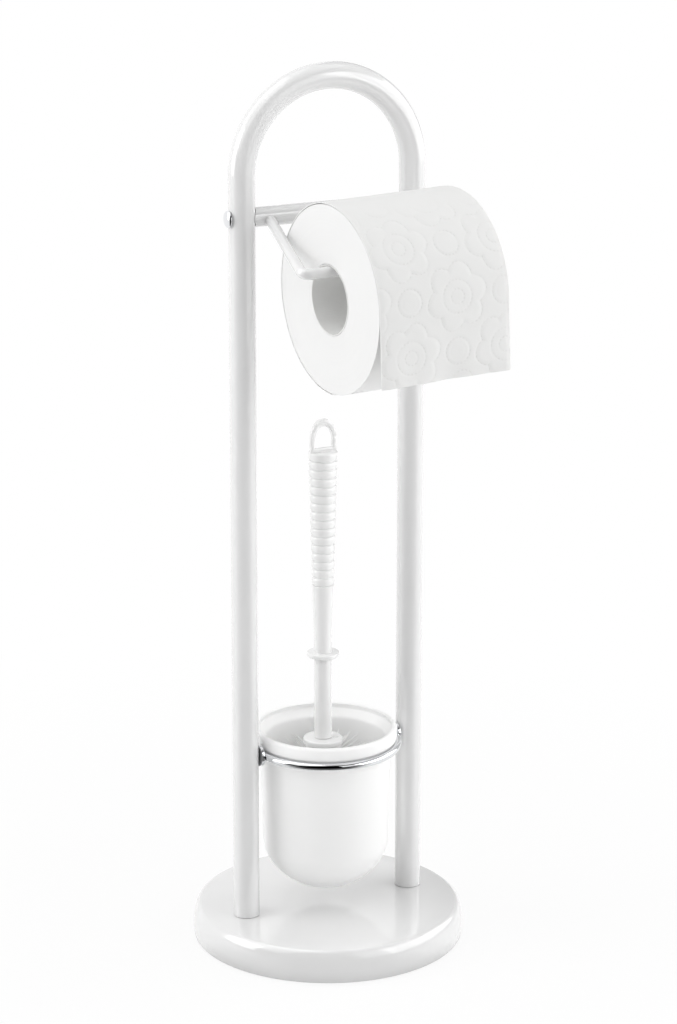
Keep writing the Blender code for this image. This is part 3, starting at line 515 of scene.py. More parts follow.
def dotted_ring_group():
    """Ring of embossed dots: the distance from a lobed circle eased to a line, broken into dots by the cosine
    of the angle times the dot count."""
    tree, given, out = new_group("dotted ring", {
        "Vector": None, "Radius": 0.01, "Lobes": 0.0, "Lobe Depth": 0.0, "Dots": 24.0, "Width": 0.0006,
    }, ["Height"])
    parts = split(tree, given["Vector"])
    angle = maths(tree, "ARCTAN2", parts["Y"], parts["X"])
    half_lobes = maths(tree, "MULTIPLY", given["Lobes"], 0.5)
    lobe = maths(tree, "ABSOLUTE", maths(tree, "SINE", maths(tree, "MULTIPLY", angle, half_lobes)))
    edge = maths(tree, "MULTIPLY_ADD", lobe, given["Lobe Depth"], given["Radius"])
    offset = off_from(tree, vector_maths(tree, "LENGTH", given["Vector"])["Value"], edge)
    line = smooth(tree, offset, 0.0, given["Width"], 1.0, 0.0)
    beat = maths(tree, "COSINE", maths(tree, "MULTIPLY", angle, given["Dots"]))
    dots = smooth(tree, beat, -0.6, 0.5, 0.25, 1.0)
    set_inputs(out, {"Height": maths(tree, "MULTIPLY", line, dots)})
    return tree


def add_grain(tree, vector, scale, roughness):
    """Place the grain group and return its outputs."""
    return add_node(tree, "Group", {
        "Vector": vector, "Scale": scale, "Low Roughness": roughness[0], "High Roughness": roughness[1],
    }, node_tree=grain_group())


def start_material(name):
    """Make a material and return it with its tree and its shader."""
    material = bpy.data.materials.new(name)
    material.use_nodes = True
    return material, material.node_tree, material.node_tree.nodes["Principled BSDF"]


def grained(name, colour, shade, roughness, scale, strength, distance, stretch=None, **plain):
    """Finish with a drifting tone between two colours, a drifting roughness and a fine grain."""
    if name in bpy.data.materials:
        return bpy.data.materials[name]
    material, tree, shader = start_material(name)
    place = object_coordinates(tree)
    if stretch:
        place = mapped(tree, place, Scale=stretch)
    grain = add_grain(tree, place, scale, roughness)
    set_inputs(shader, {
        "Base Color": blend(tree, grain["Tone"], colour, shade), "Roughness": grain["Roughness"],
        "Normal": bump(tree, grain["Height"], strength, distance), "Subsurface Radius": (1.0, 1.0, 1.0),
        **{key.replace("_", " "): value for key, value in plain.items()}})
    return material


# Finishes

def lacquer():
    """White powder coat under a clear gloss, with a faint orange peel."""
    return grained("white lacquer", (0.805, 0.805, 0.805), (0.785, 0.785, 0.785), (0.16, 0.24), 420.0,
                   0.004, 0.0003, Coat_Weight=1.0, Coat_IOR=1.8, Coat_Roughness=0.1)


def chrome():
    """Polished plating with hairline wear."""
    return grained("polished chrome", (0.86, 0.87, 0.88), (0.8, 0.81, 0.83), (0.03, 0.07), 900.0,
                   0.02, 0.0001, Metallic=1.0)


def zinc():
    """Plated steel with a dull spangle."""
    return grained("zinc plate", (0.62, 0.63, 0.64), (0.52, 0.53, 0.55), (0.3, 0.45), 1200.0,
                   0.15, 0.0001, Metallic=1.0)


def cement():
    """Cast cement with pores."""
    return grained("cast cement", (0.42, 0.41, 0.39), (0.33, 0.32, 0.3), (0.85, 0.95), 260.0,
                   0.7, 0.0008)


def rubber():
    """Matt black rubber."""
    return grained("pad rubber", (0.035, 0.035, 0.036), (0.055, 0.055, 0.056), (0.7, 0.85), 700.0,
                   0.4, 0.0003)


def opal_glass():
    """White glass with an etched skin that lets a little light through."""
    return grained("frosted glass", (0.995, 0.995, 0.99), (0.985, 0.985, 0.98), (0.45, 0.55), 1500.0,
                   0.05, 0.0001, Subsurface_Weight=0.5, Subsurface_Scale=0.006, Coat_Weight=0.15,
                   Coat_Roughness=0.3, IOR=1.5)


def moulded_plastic():
    """White moulded plastic with a soft sheen."""
    return grained("white plastic", (0.92, 0.92, 0.917), (0.9, 0.9, 0.897), (0.26, 0.36), 800.0,
                   0.02, 0.0002, Coat_Weight=1.0, Coat_IOR=1.7, Coat_Roughness=0.12)


def nylon():
    """White nylon strands."""
    return grained("brush nylon", (0.95, 0.95, 0.94), (0.91, 0.91, 0.9), (0.35, 0.5), 900.0,
                   0.05, 0.0001)


def card():
    """Grey card with fibres along its length."""
    return grained("roll card", (0.85, 0.85, 0.84), (0.8, 0.8, 0.79), (0.8, 0.95), 900.0,
                   0.35, 0.0003, stretch=(0.25, 1.0, 1.0))


def wound_tissue():
    """Edges of the wound turns: the map's second axis counts the turns, so noise along it draws each edge."""
    material, tree, shader = start_material("wound tissue")
    turns = add_node(tree, "UVMap", uv_map="surface")["UV"]
    layers = noise(tree, mapped(tree, turns, Scale=(1.0, 0.35, 1.0)), 1.6, 3.0)
    tone = smooth(tree, layers, 0.35, 0.62)
    grain = add_grain(tree, object_coordinates(tree), 900.0, (0.85, 0.95))
    height = maths(tree, "MULTIPLY_ADD", grain["Height"], 0.15, layers)
    set_inputs(shader, {
        "Base Color": blend(tree, tone, (0.842, 0.842, 0.838), (0.85, 0.85, 0.846)),
        "Roughness": grain["Roughness"], "Normal": bump(tree, height, 0.05, 0.0003), "Sheen Weight": 0.1})
    return material


def embossed_tissue(settings):
    """Soft creped paper, pricked with dots along the lines of its relief. Its colour is darkened in the dots
    by painted shade and lightened along its cut edges by a painted highlight. The map is in metres along the
    sheet, and two wrapped copies of it centre on the rosettes and on the discs."""
    material, tree, shader = start_material("embossed tissue")
    flat = add_node(tree, "UVMap", uv_map="surface")["UV"]
    parts = split(tree, flat)
    centred = mapped(tree, flat, Location=(-MOTIF_START[0], -MOTIF_START[1], 0.0))
    turned = mapped(tree, centred, Rotation=(0.0, 0.0, radians(45.0)))
    half = settings.motif_spacing / 2
    rosette, disc = (
        vector_maths(tree, "WRAP", vector_maths(tree, "ADD", turned, (shift, shift, 0.0))["Vector"],
                     (half, half, 1.0), (-half, -half, -1.0))["Vector"] for shift in (0.0, half))
    group = dotted_ring_group()
    dents = None
    for centre, radius, lobes, depth, dots in (
            (rosette, PETAL_NOTCH, float(PETALS), PETAL_BULGE, 48.0),
            (rosette, PETAL_RINGS[0][0], 0.0, 0.0, 24.0), (rosette, PETAL_RINGS[1][0], 0.0, 0.0, 11.0),
            (disc, DISC_RADIUS, 0.0, 0.0, 21.0)):
        ring = add_node(tree, "Group", {
            "Vector": centre, "Radius": radius, "Lobes": lobes, "Lobe Depth": depth, "Dots": dots,
            "Width": DOT_WIDTH}, node_tree=group)["Height"]
        dents = ring if dents is None else maths(tree, "MAXIMUM", dents, ring)
    wear = smooth(tree, noise(tree, flat, 130.0, 1.0), 0.35, 0.6, 0.25, 1.0)
    field = smooth(tree, off_from(tree, parts["Y"], SMOOTH_LENGTH), *SMOOTH_FADE)
    dents = maths(tree, "MULTIPLY", maths(tree, "MULTIPLY", dents, wear), field)
    crepe = noise(tree, mapped(tree, flat, Scale=(1.0, 4.0, 1.0)), 420.0, 4.0)
    grain = add_grain(tree, object_coordinates(tree), 650.0, (0.88, 0.96))
    height = maths(tree, "MULTIPLY_ADD", crepe, 0.18, maths(tree, "MULTIPLY", dents, -0.45))
    height = maths(tree, "MULTIPLY_ADD", grain["Height"], 0.1, height)
    # Painted shade: the base colour darkens along the embossed dot lines, standing in for the shade that
    # falls in the dents.
    paper = blend(tree, maths(tree, "MULTIPLY", dents, 0.22), (0.785, 0.785, 0.778), (0.68, 0.68, 0.67))
    # Painted highlight along the sheet's cut edges: the colour lightens there.
    painted_edge_highlight = smooth(tree, off_from(tree, parts["X"], ROLL_WIDTH / 2),
                      *(ROLL_WIDTH / 2 - inset for inset in EDGE_HIGHLIGHT_FADE))
    set_inputs(shader, {
        "Base Color": blend(tree, painted_edge_highlight, paper, PAINTED_EDGE_HIGHLIGHT), "Roughness": grain["Roughness"],
        "Normal": bump(tree, height, settings.emboss_strength, 0.0006), "Sheen Weight": 0.15})
    return material


# Pieces

def base_line(inset):
    """Half section of the base, out from its axis: flat, an elliptical shoulder, a tapered side."""
    radius, top = BASE_RADIUS - inset, BASE_TOP - inset
    flat, shoulder = radius - BASE_EDGE_RUN, BASE_TOP - BASE_EDGE_DROP
    curve = arc((flat, shoulder), BASE_EDGE_RUN, top - shoulder, pi / 2, 0, 22)
    return np.vstack([spread(ramp(0, flat, 9)[:-1], top), curve, [[radius - BASE_TAPER, BASE_LOW]]])


def base_surface():
    """Pressed shell: the outer section down to a rolled lip and the same section drawn in by the wall."""
    outer, inner = base_line(0), base_line(SHELL_WALL)
    outer[-1, 1] += BASE_LIP
    lip = outer[-1] - BASE_LIP * np.array([[0.5, 0.75], [1.25, 1.0]])
    return spun(np.vstack([outer, lip, inner[::-1]]), 160)


def arch_surface():
    """Bent tube: the section carried up one upright, round the half circle and down, then back inside."""
    over = arc((0, ARCH_CENTRE), UPRIGHT_X, UPRIGHT_X, pi, 0, 97)
    rise = ramp(BASE_TOP + SEAT_GAP, ARCH_CENTRE, 15)[:-1]
    flat = np.vstack([spread(-UPRIGHT_X, rise), over, spread(UPRIGHT_X, rise[::-1])])
    path = spread(flat[:, 0], 0.0, flat[:, 1])
    return walled(*(rod(path, (0, 1, 0), radius, 48) for radius in (TUBE_RADIUS, TUBE_RADIUS - TUBE_WALL)))


def rail_surface():
    """Cross tube whose ends follow the uprights: at each angle the end lies where a line along the rail meets
    the upright's cylinder, and the wall closes back inside."""
    turn = around(64)
    skins = []
    for radius in (RAIL_RADIUS, RAIL_RADIUS - RAIL_WALL):
        y = radius * np.cos(turn)
        end = UPRIGHT_X - np.sqrt((TUBE_RADIUS + SEAT_GAP) ** 2 - y ** 2)
        skins.append(spread(ramp(-1, 1, 25)[:, None] * end, y, RAIL_HEIGHT + radius * np.sin(turn)))
    return walled(*skins)


def arm_surface():
    """Bent rod: each line of its skin starts where it meets the rail's cylinder, and its free end is eased in
    by a quarter of an ellipse."""
    lift = CORE_BORE - SEAT_GAP - ARM_RADIUS
    root = np.array((ARM_ROOT_X, 0.0, RAIL_HEIGHT))
    corner, tip = (np.array(ROLL_FRAME @ Vector((x, 0, lift))) for x in (-ARM_CORNER, ROLL_WIDTH + ARM_REACH))
    way, axis = unit(corner - root), unit(tip - corner)
    bend = rounded([root, corner, tip], [ARM_BEND / tan(acos(-way @ axis) / 2)], 17)
    start = root + (bend[1] - root) * ramp(0, 1, 7)[:-1, None]
    run = bend[-2] + (tip - bend[-2]) * ramp(0, 1, 12)[1:, None]
    path = np.vstack([start, bend[1:-1], run])
    skin = rod(path, unit(np.cross(root - corner, tip - corner)), ARM_RADIUS, 28)
    line = skin[0, :, 1:] - root[1:]
    near, flat = line @ way[1:], way[1:] @ way[1:]
    meet = (np.sqrt(near ** 2 - flat * ((line ** 2).sum(1) - (RAIL_RADIUS + SEAT_GAP) ** 2)) - near) / flat
    share = np.linalg.norm(path - root, axis=1) / np.linalg.norm(bend[1] - root)
    skin = skin + (np.clip(1 - share, 0, 1)[:, None] * meet)[..., None] * way
    quarter = ramp(0, pi / 2, 6)[1:, None, None]
    cap = tip + (skin[-1] - tip) * np.cos(quarter) + axis * ARM_END * np.sin(quarter)
    return np.concatenate([np.broadcast_to(root + way * meet.mean(), (1, *skin.shape[1:])), skin, cap])


def cap_surface(sign):
    """Screw with a domed cap: a flat ellipse over a short edge, then the shank, all spun and laid along X."""
    dome = arc((0, CAP_EDGE), CAP_RADIUS, CAP_RISE - CAP_EDGE, pi / 2, 0, 14)
    side = [(CAP_RADIUS, CAP_BEVEL[1]), (CAP_RADIUS - CAP_BEVEL[0], 0), (CAP_SHANK_RADIUS, 0),
            (CAP_SHANK_RADIUS, -CAP_SHANK), (0, -CAP_SHANK)]
    return laid(np.vstack([dome, side]), 48, UPRIGHT_X + TUBE_RADIUS + SEAT_GAP, RAIL_HEIGHT, sign)


def ring_surface():
    """Torus: a small circle carried round a large one."""
    section = arc((RING_RADIUS, RING_HEIGHT), RING_SECTION, RING_SECTION, 0, 2 * pi, 25)[:-1]
    return spun(section, 144) + (0, RING_SETBACK, 0)


def flange_surface(sign):
    """Round plate with eased edges and a cone that tapers to the ring, bored for its screw."""
    front, tip = -FLANGE_THICKNESS, -FLANGE_THICKNESS - BOSS_LENGTH
    line = rounded([(FLANGE_BORE, 0), (FLANGE_RADIUS, 0), (FLANGE_RADIUS, front), (BOSS_RADIUS, front),
                    (FLANGE_BORE + BOSS_WALL, tip), (FLANGE_BORE, tip)], FLANGE_BENDS)
    return laid(line, 56, UPRIGHT_X - TUBE_RADIUS - SEAT_GAP, RING_HEIGHT, sign)


def foot_curve(radius, drop):
    """Quarter of a superellipse from a wall down to the axis: radius times the cosine, and drop times the
    sine, each to the power of 2 over the roundness."""
    angle = ramp(0, pi / 2, 26)
    across = radius * np.clip(np.cos(angle), 0, 1) ** (2 / BOWL_POWER)
    across[-1] = 0.0
    return spread(across, BOWL_SHOULDER[1] - drop * np.sin(angle) ** (2 / BOWL_POWER))


def floor_height(radius):
    """Height of the bowl's inner surface at a radius, from the same superellipse as its foot."""
    share = radius / (BOWL_SHOULDER[0] - BOWL_WALL)
    drop = BOWL_SHOULDER[1] - BOWL_FOOT - BOWL_FLOOR
    return BOWL_SHOULDER[1] - drop * (1 - share ** BOWL_POWER) ** (1 / BOWL_POWER)


def bowl_surface():
    """Glass bowl spun from its floor up the inside, over the flared lip and down the outside to its foot."""
    neck = RING_RADIUS - RING_SECTION - SEAT_GAP
    seat = RING_HEIGHT + RING_SECTION + SEAT_GAP
    low = RING_HEIGHT - RING_SECTION
    inside = foot_curve(BOWL_SHOULDER[0] - BOWL_WALL, BOWL_SHOULDER[1] - BOWL_FOOT - BOWL_FLOOR)[::-1]
    lip = arc((BOWL_RIM_RADIUS - BOWL_LIP, BOWL_RIM_HEIGHT - BOWL_LIP), BOWL_LIP, BOWL_LIP,
              radians(130), 0, 12)
    upper = rounded([inside[-1], (BOWL_TOP_RADIUS - BOWL_WALL, low), BOWL_THROAT, BOWL_FLARE, lip[0]],
                    BOWL_INNER_BENDS)
    lower = rounded([lip[-1], (BOWL_RIM_RADIUS, seat + BOWL_RIM_SIDE), (RING_RADIUS - RING_SECTION / 2, seat),
                     (neck, RING_HEIGHT + RING_SECTION / 2), (neck, low),
                     (BOWL_TOP_RADIUS, RING_HEIGHT - 3 * RING_SECTION), BOWL_SHOULDER], BOWL_OUTER_BENDS)
    outside = foot_curve(BOWL_SHOULDER[0], BOWL_SHOULDER[1] - BOWL_FOOT)
    line = np.vstack([inside, upper[1:], lip[1:], lower[1:-1], outside])
    return spun(line, 120) + (0, RING_SETBACK, 0)


def handle_line():
    """Half section of the handle: crowned ribs with a narrow groove under each, the neck, disc and stem."""
    step, crown = RIB.T
    down = (np.arange(RIB_COUNT)[:, None] + step) * (GRIP_TOP - GRIP_LOW) / RIB_COUNT
    height = np.minimum(GRIP_TOP - down, GRIP_TOP - GRIP_EDGE)
    share = (GRIP_TOP - height) / (GRIP_TOP - GRIP_LOW)
    radius = GRIP_TOP_RADIUS + (GRIP_LOW_RADIUS - GRIP_TOP_RADIUS) * share - RIB_DEPTH * (1 - crown)
    ribs = spread(radius.ravel(), height.ravel())[2:]
    ribs[0] = (GRIP_TOP_RADIUS - 0.1 * GRIP_EDGE, GRIP_TOP - GRIP_EDGE)
    top = [(0, GRIP_TOP), (GRIP_FLAT, GRIP_TOP), (GRIP_TOP_RADIUS - 0.7 * GRIP_EDGE, GRIP_TOP),
           (GRIP_TOP_RADIUS - 0.2 * GRIP_EDGE, GRIP_TOP - 0.4 * GRIP_EDGE)]
    disc_low = SPLASH_TOP - SPLASH_THICKNESS
    low = HUB_TOP + SEAT_GAP
    rest = rounded([ribs[-1], (GRIP_LOW_RADIUS, GRIP_LOW), (STEM_RADIUS, NECK_LOW), (STEM_RADIUS, SPLASH_TOP),
                    (SPLASH_RADIUS, SPLASH_TOP), (SPLASH_RADIUS, disc_low), (STEM_RADIUS, disc_low),
                    (STEM_RADIUS, low), (SPIGOT_RADIUS, low), (SPIGOT_RADIUS, low - SPIGOT_LENGTH),
                    (0, low - SPIGOT_LENGTH)], HANDLE_BENDS, 9)
    return np.vstack([top, ribs, rest[1:]])


def loop_outline(half, sill, spring, rise):
    """Arched outline from the middle of its sill: along the sill, up a side, over by a quarter of an ellipse,
    and back mirrored."""
    right = np.vstack([spread(ramp(0, half, 7), sill)[:-1], spread(half, ramp(sill, spring, 8))[:-1],
                       arc((0, spring), half, rise, 0, pi / 2, 17)])
    return np.vstack([right, (right[1:-1] * np.array((-1, 1)))[::-1]])


def squared(wave):
    """Root of a wave with its sign kept, which squares the section that it draws."""
    return np.sign(wave) * np.abs(wave) ** 0.5


def loop_surface():
    """Hanging loop: a squared section between two arched outlines, their middle plus half their gap times a
    squared cosine, and half the thickness times a squared sine across."""
    half = LOOP_WIDTH / 2
    spring = LOOP_HEIGHT - half * LOOP_CROWN
    inner_spring = spring - LOOP_SIDE / 2
    outer = loop_outline(half, -GRIP_EDGE, spring, half * LOOP_CROWN)
    inner = loop_outline(half - LOOP_SIDE, LOOP_SILL, inner_spring, LOOP_HEIGHT - LOOP_TOP_BAR - inner_spring)
    turn = around(16)
    flat = (outer + inner)[:, None] / 2 + (outer - inner)[:, None] / 2 * squared(np.cos(turn))[:, None]
    return spread(flat[..., 0], squared(np.sin(turn)) * LOOP_THICKNESS / 2, flat[..., 1] + GRIP_TOP)


def hub_surface():
    """Hub spun with a stepped side, then dimpled: each point of its top sinks by a bell curve of its distance
    from the dimple's centre."""
    socket = SPIGOT_RADIUS + SEAT_GAP
    socket_low = HUB_TOP - SPIGOT_LENGTH - SEAT_GAP
    waist, low = HUB_RADIUS - HUB_STEP, HUB_TOP - HUB_THICKNESS
    line = rounded([(0, socket_low), (socket, socket_low), (socket, HUB_TOP), (HUB_RADIUS, HUB_TOP),
                    (HUB_RADIUS, HUB_TOP - HUB_BAND[0]), (waist, HUB_TOP - HUB_BAND[1]), (waist, low),
                    (POST_RADIUS, low), (POST_RADIUS, POST_LOW), (0, POST_LOW)], HUB_BENDS, 8)
    flat = spread(ramp(socket + HUB_FLAT[0], HUB_RADIUS - HUB_FLAT[1], 9), HUB_TOP)
    seam = int(np.argmax(line[:, 1] >= HUB_TOP - MERGE)) + 1
    points = spun(np.vstack([line[:seam], flat, line[seam:]]), 72)
    away = np.hypot(points[..., 0] - DIMPLE[0], points[..., 1] - DIMPLE[1])
    top = points[..., 2] > HUB_TOP - HUB_STEP
    points[..., 2] -= np.where(top, DIMPLE_DEPTH * bell(away, DIMPLE_WIDTH), 0)
    return points


def sleeve_surface():
    """Sleeve under the strands: a tube over the hub's post with a bare collar."""
    bore, low = POST_RADIUS + SEAT_GAP, SLEEVE_TOP - SLEEVE_LENGTH
    return spun(rounded([(bore, low), (bore, SLEEVE_TOP), (SLEEVE_RADIUS, SLEEVE_TOP), (SLEEVE_RADIUS, low)],
                        SLEEVE_BENDS), 40)


def strand_points(count_round, count_up):
    """Bristles: each is a parabola from the sleeve to the head's round-ended outline, with a little scatter
    and three points round it at every step."""
    rng = np.random.default_rng(7)
    top, low = SLEEVE_TOP - SLEEVE_COLLAR, SLEEVE_TOP - SLEEVE_LENGTH
    shoulder = BOWL_SHOULDER[1]
    ring, column = np.indices((count_up, count_round)).reshape(2, -1)
    up, aside = (rng.uniform(-most, most, ring.size) for most in STRAND_SCATTER)
    share = np.clip((ring + 0.5 + up) / count_up, 0, 1)
    angle = 2 * pi * (column + 0.5 * (ring % 2) + aside) / count_round
    sway = rng.normal(0, STRAND_SWAY, (2, ring.size))
    floor = floor_height(STRAND_REACH * cos(STRAND_END_ANGLE)) + STRAND_FLOOR_GAP
    bend = STRAND_END_ANGLE * np.clip((share - STRAND_KNEE) / (1 - STRAND_KNEE), 0, 1)
    straight = STRAND_TOP + (shoulder - STRAND_TOP) * share / STRAND_KNEE
    round_end = shoulder - (shoulder - floor) * np.sin(bend) / sin(STRAND_END_ANGLE)
    reach = STRAND_REACH * np.cos(bend) * (1 - rng.uniform(0, STRAND_TRIM, ring.size))
    height = np.where(share < STRAND_KNEE, straight, round_end)
    root = polar(SLEEVE_RADIUS * STRAND_ROOT, angle, top + (low - top) * share)
    tip = polar(reach, angle + sway[0], height + STRAND_RISE * sway[1])
    way = tip - root
    middle = root + way / 2 + polar(STRAND_BULGE, angle, 0.0)
    t = ramp(0, 1, STRAND_ROWS)
    line = parabola(t[None, :, None], root[:, None], middle[:, None], tip[:, None])
    side = unit(np.cross(way, (0, 0, 1.0)))
    turn = around(3)[:, None]
    circle = np.cos(turn) * side[:, None] + np.sin(turn) * unit(np.cross(side, way))[:, None]
    thick = STRAND_RADIUS * (1 - STRAND_TAPER * t)
    return line[:, :, None] + thick[None, :, None, None] * circle[:, None]


def add_strands(name, points):
    """Mesh of many strands: three side quads at each step and a triangle at both ends."""
    count, rows = points.shape[:2]
    row, column = grid_quads(rows - 1, 3)
    size = rows * 3
    first = (np.arange(count) * size)[:, None, None]
    quads = (first + row * 3 + column % 3).reshape(-1, 4)
    ends = (first + np.array([[2, 1, 0], [size - 3, size - 2, size - 1]])).reshape(-1, 3)
    return add_mesh(name, points, quads.tolist() + ends.tolist(), radians(80))


def core_surface():
    """Card tube: the bore carries a shallow groove along a helix, a bell curve of the distance from the turn
    that equals the angle plus the length over the pitch."""
    turn = around(96)
    along = ramp(0, ROLL_WIDTH, 60)[:, None]
    phase = (turn / (2 * pi) + along / SEAM_PITCH) % 1.0
    bore = CORE_BORE + SEAM_DEPTH * bell((phase - 0.5) * SEAM_GIRTH, SEAM_WIDTH)
    skins = (spread(along, radius * np.cos(turn), radius * np.sin(turn))
             for radius in (bore, CORE_BORE + CORE_WALL))
    return placed(walled(*skins), ROLL_FRAME)


def wound_surface():
    """Wound paper and its profile's radii: a ring section whose end faces ripple from turn to turn by a sum
    of sines of the radius."""
    bore, outer = CORE_BORE + CORE_WALL + SEAT_GAP, ROLL_RADIUS - PAPER_THICKNESS - WOUND_GAP
    radius = ramp(bore, outer - WOUND_EDGE, 70)
    waves = np.random.default_rng(3).uniform(0, 2 * pi, (2, len(RIPPLES)))
    turns = 2 * pi * radius[:, None, None] / RIPPLES
    ripple = (np.sin(turns + waves) * RIPPLES).sum(2) * RIPPLE_SHARE
    left = spread(radius, ripple[:, 0] + WOUND_INSET)
    right = spread(radius, ROLL_WIDTH - WOUND_INSET + ripple[:, 1])
    edge = rounded([left[-1], (outer, 0), (outer, ROLL_WIDTH), right[-1]], [WOUND_EASE, WOUND_EASE], 4)
    line = np.vstack([left, edge[1:-1], right[::-1]])
    along = Matrix.Rotation(pi / 2, 4, "Y")
    return placed(spun(line, 128), ROLL_FRAME @ along), line[:, 0]


def embossed_height(u, v, spacing):
    """Relief on a square lattice turned by 45 degrees: a rosette rises inside a radius that grows with the
    sine of its petals, a disc rises halfway between rosettes, and grooves run round both."""
    right, up = (u - MOTIF_START[0]) * sqrt(0.5), (v - MOTIF_START[1]) * sqrt(0.5)
    x, y = right - up, right + up
    half = spacing / 2
    x, y, a, b = ((value + half) % spacing - half for value in (x, y, x + half, y + half))
    radius, disc = np.hypot(x, y), np.hypot(a, b)
    depth = PETAL_NOTCH + PETAL_BULGE * np.abs(np.sin(PETALS / 2 * np.arctan2(y, x))) - radius
    rosette = eased(depth, 0, PETAL_SLOPE)
    for at, width, share in PETAL_RINGS:
        rosette = rosette - share * bell(radius - at, width)
    at, width, share = DISC_RING
    button = DISC_RISE * eased(DISC_RADIUS - disc, 0, DISC_SLOPE) - share * bell(disc - at, width)
    outlines = np.maximum(bell(depth, OUTLINE_WIDTH), bell(disc - DISC_RADIUS, OUTLINE_WIDTH))
    height = FIELD_RISE + rosette + button - OUTLINE_DEPTH * outlines
    return EMBOSS_HEIGHT * np.maximum(height, 0) * eased(np.abs(v - SMOOTH_LENGTH), *SMOOTH_FADE)


def tail_surface(spacing):
    """Outer turn of paper with its hanging end, and its map: an arc of three quarters of a turn and then a
    straight drop, embossed, rippled on the roll, and drifting off it by slow waves that grow as it hangs.
    Its rows are finer where the embossing shows."""
    ends = (0, *SMOOTH_ROWS, ARC_LENGTH, ARC_LENGTH + TAIL_DROP)
    steps = (140, 28, 100, 60)
    length = np.concatenate([[0], *(ramp(*span)[1:] for span in zip(ends, ends[1:], steps))])
    angle = np.minimum(length, ARC_LENGTH) / ROLL_RADIUS - pi / 2
    way = np.stack([np.cos(angle), np.sin(angle)])
    place = way * ROLL_RADIUS - np.array([[0], [1]]) * np.maximum(length - ARC_LENGTH, 0)
    across = ramp(0, ROLL_WIDTH, 122)
    hang = np.clip((length - ARC_LENGTH) / TAIL_DROP, 0, 1)[:, None]
    u, v = across[None], length[:, None]
    warp = RIPPLE_WARP[0] * np.sin(v / RIPPLE_WARP[1])
    ripple = np.sin(2 * pi * u / RIPPLE_LENGTHS[0] + warp) * np.sin(2 * pi * v / RIPPLE_LENGTHS[1])
    waves = sum(height * np.sin(2 * pi * u / span + start) for height, span, start in DRIFT_WAVES)
    lift = RIPPLE_HEIGHT * (ripple + 1) * (1 - hang) + embossed_height(u, v, spacing)
    lift = lift * eased(np.minimum(u, ROLL_WIDTH - u), 0, TAIL_EASE)
    y, z = place[..., None] + way[..., None] * lift
    return placed(spread(u, y - hang ** DRIFT_POWER * waves - DRIFT * hang, z), ROLL_FRAME), (across, length)


# Settings and operators

class HolderSettings(PropertyGroup):
    """Sizes and finishes that a user would change."""

    strand_rows: IntProperty(name="Strand Rows", description="Rows of bristles", default=36, min=8)
    strand_columns: IntProperty(name="Strand Columns", description="Bristles in a row", default=34, min=8)
    motif_spacing: FloatProperty(name="Motif Spacing", description="Distance between embossed rosettes",
                                 default=0.0525, min=0.02, unit="LENGTH")
    emboss_strength: FloatProperty(name="Emboss", description="Strength of the fine dents in the paper",
                                   default=0.6, min=0.0, max=1.0, subtype="FACTOR")
    backdrop: FloatVectorProperty(name="Backdrop", description="Colour of the floor and the backdrop",
                                  default=(1.0, 1.0, 1.0), subtype="COLOR", min=0.0, max=1.0)
    glow: FloatProperty(name="Glow", description="Strength of the even light from all round", default=0.44,
                        min=0.0, max=1.0, subtype="FACTOR")
    side_light: FloatProperty(name="Lamps", description="Power that each lamp gives its own share of",
                              default=16.0, min=0.0, unit="POWER")


class HolderOperator:
    """What every operator here shares."""

    bl_options = {"REGISTER", "UNDO"}


class HOLDER_OT_base(HolderOperator, Operator):
    """Make the pressed base shell"""

    bl_idname = "holder.base"
    bl_label = "Base Shell"

    def execute(self, context):
        make("base_shell_skin", base_surface(), "stand", lacquer(), "white_lacquer", ["base_shell"])
        return {"FINISHED"}


class HOLDER_OT_frame(HolderOperator, Operator):
    """Make the bent arch tube, the cross rail and its screw caps"""

    bl_idname = "holder.frame"
    bl_label = "Arch and Rail"

    def execute(self, context):
        make("arch_tube", arch_surface(), "stand", lacquer(), "white_lacquer", ["frame_tube"], wrap=CLOSED)
        make("cross_rail", rail_surface(), "stand", lacquer(), "white_lacquer", ["rail_tube"], wrap=CLOSED)
        for side, sign in SIDES.items():
            make("rail_cap_" + side, cap_surface(sign), "stand", chrome(), "chrome", ["rail_screw_" + side])
        return {"FINISHED"}


class HOLDER_OT_arm(HolderOperator, Operator):
    """Make the bent rod that carries the paper roll"""

    bl_idname = "holder.arm"
    bl_label = "Roll Arm"

    def execute(self, context):
        make("bent_arm", arm_surface(), "stand", lacquer(), "white_lacquer", ["roll_arm"])
        return {"FINISHED"}


class HOLDER_OT_ring(HolderOperator, Operator):
    """Make the chrome ring and its two flanges"""

    bl_idname = "holder.ring"
    bl_label = "Bowl Ring"

    def execute(self, context):
        make("carrier_ring", ring_surface(), "stand", chrome(), "chrome", ["bowl_ring"], wrap=CLOSED)
        for side, sign in SIDES.items():
            make("ring_flange_" + side, flange_surface(sign), "stand", chrome(), "chrome", wrap=CLOSED)
        return {"FINISHED"}


class HOLDER_OT_bowl(HolderOperator, Operator):
    """Make the frosted glass bowl"""

    bl_idname = "holder.bowl"
    bl_label = "Glass Bowl"

    def execute(self, context):
        make("glass_bowl", bowl_surface(), "bowl", opal_glass(), "frosted_glass", ["brush_bowl"])
        return {"FINISHED"}


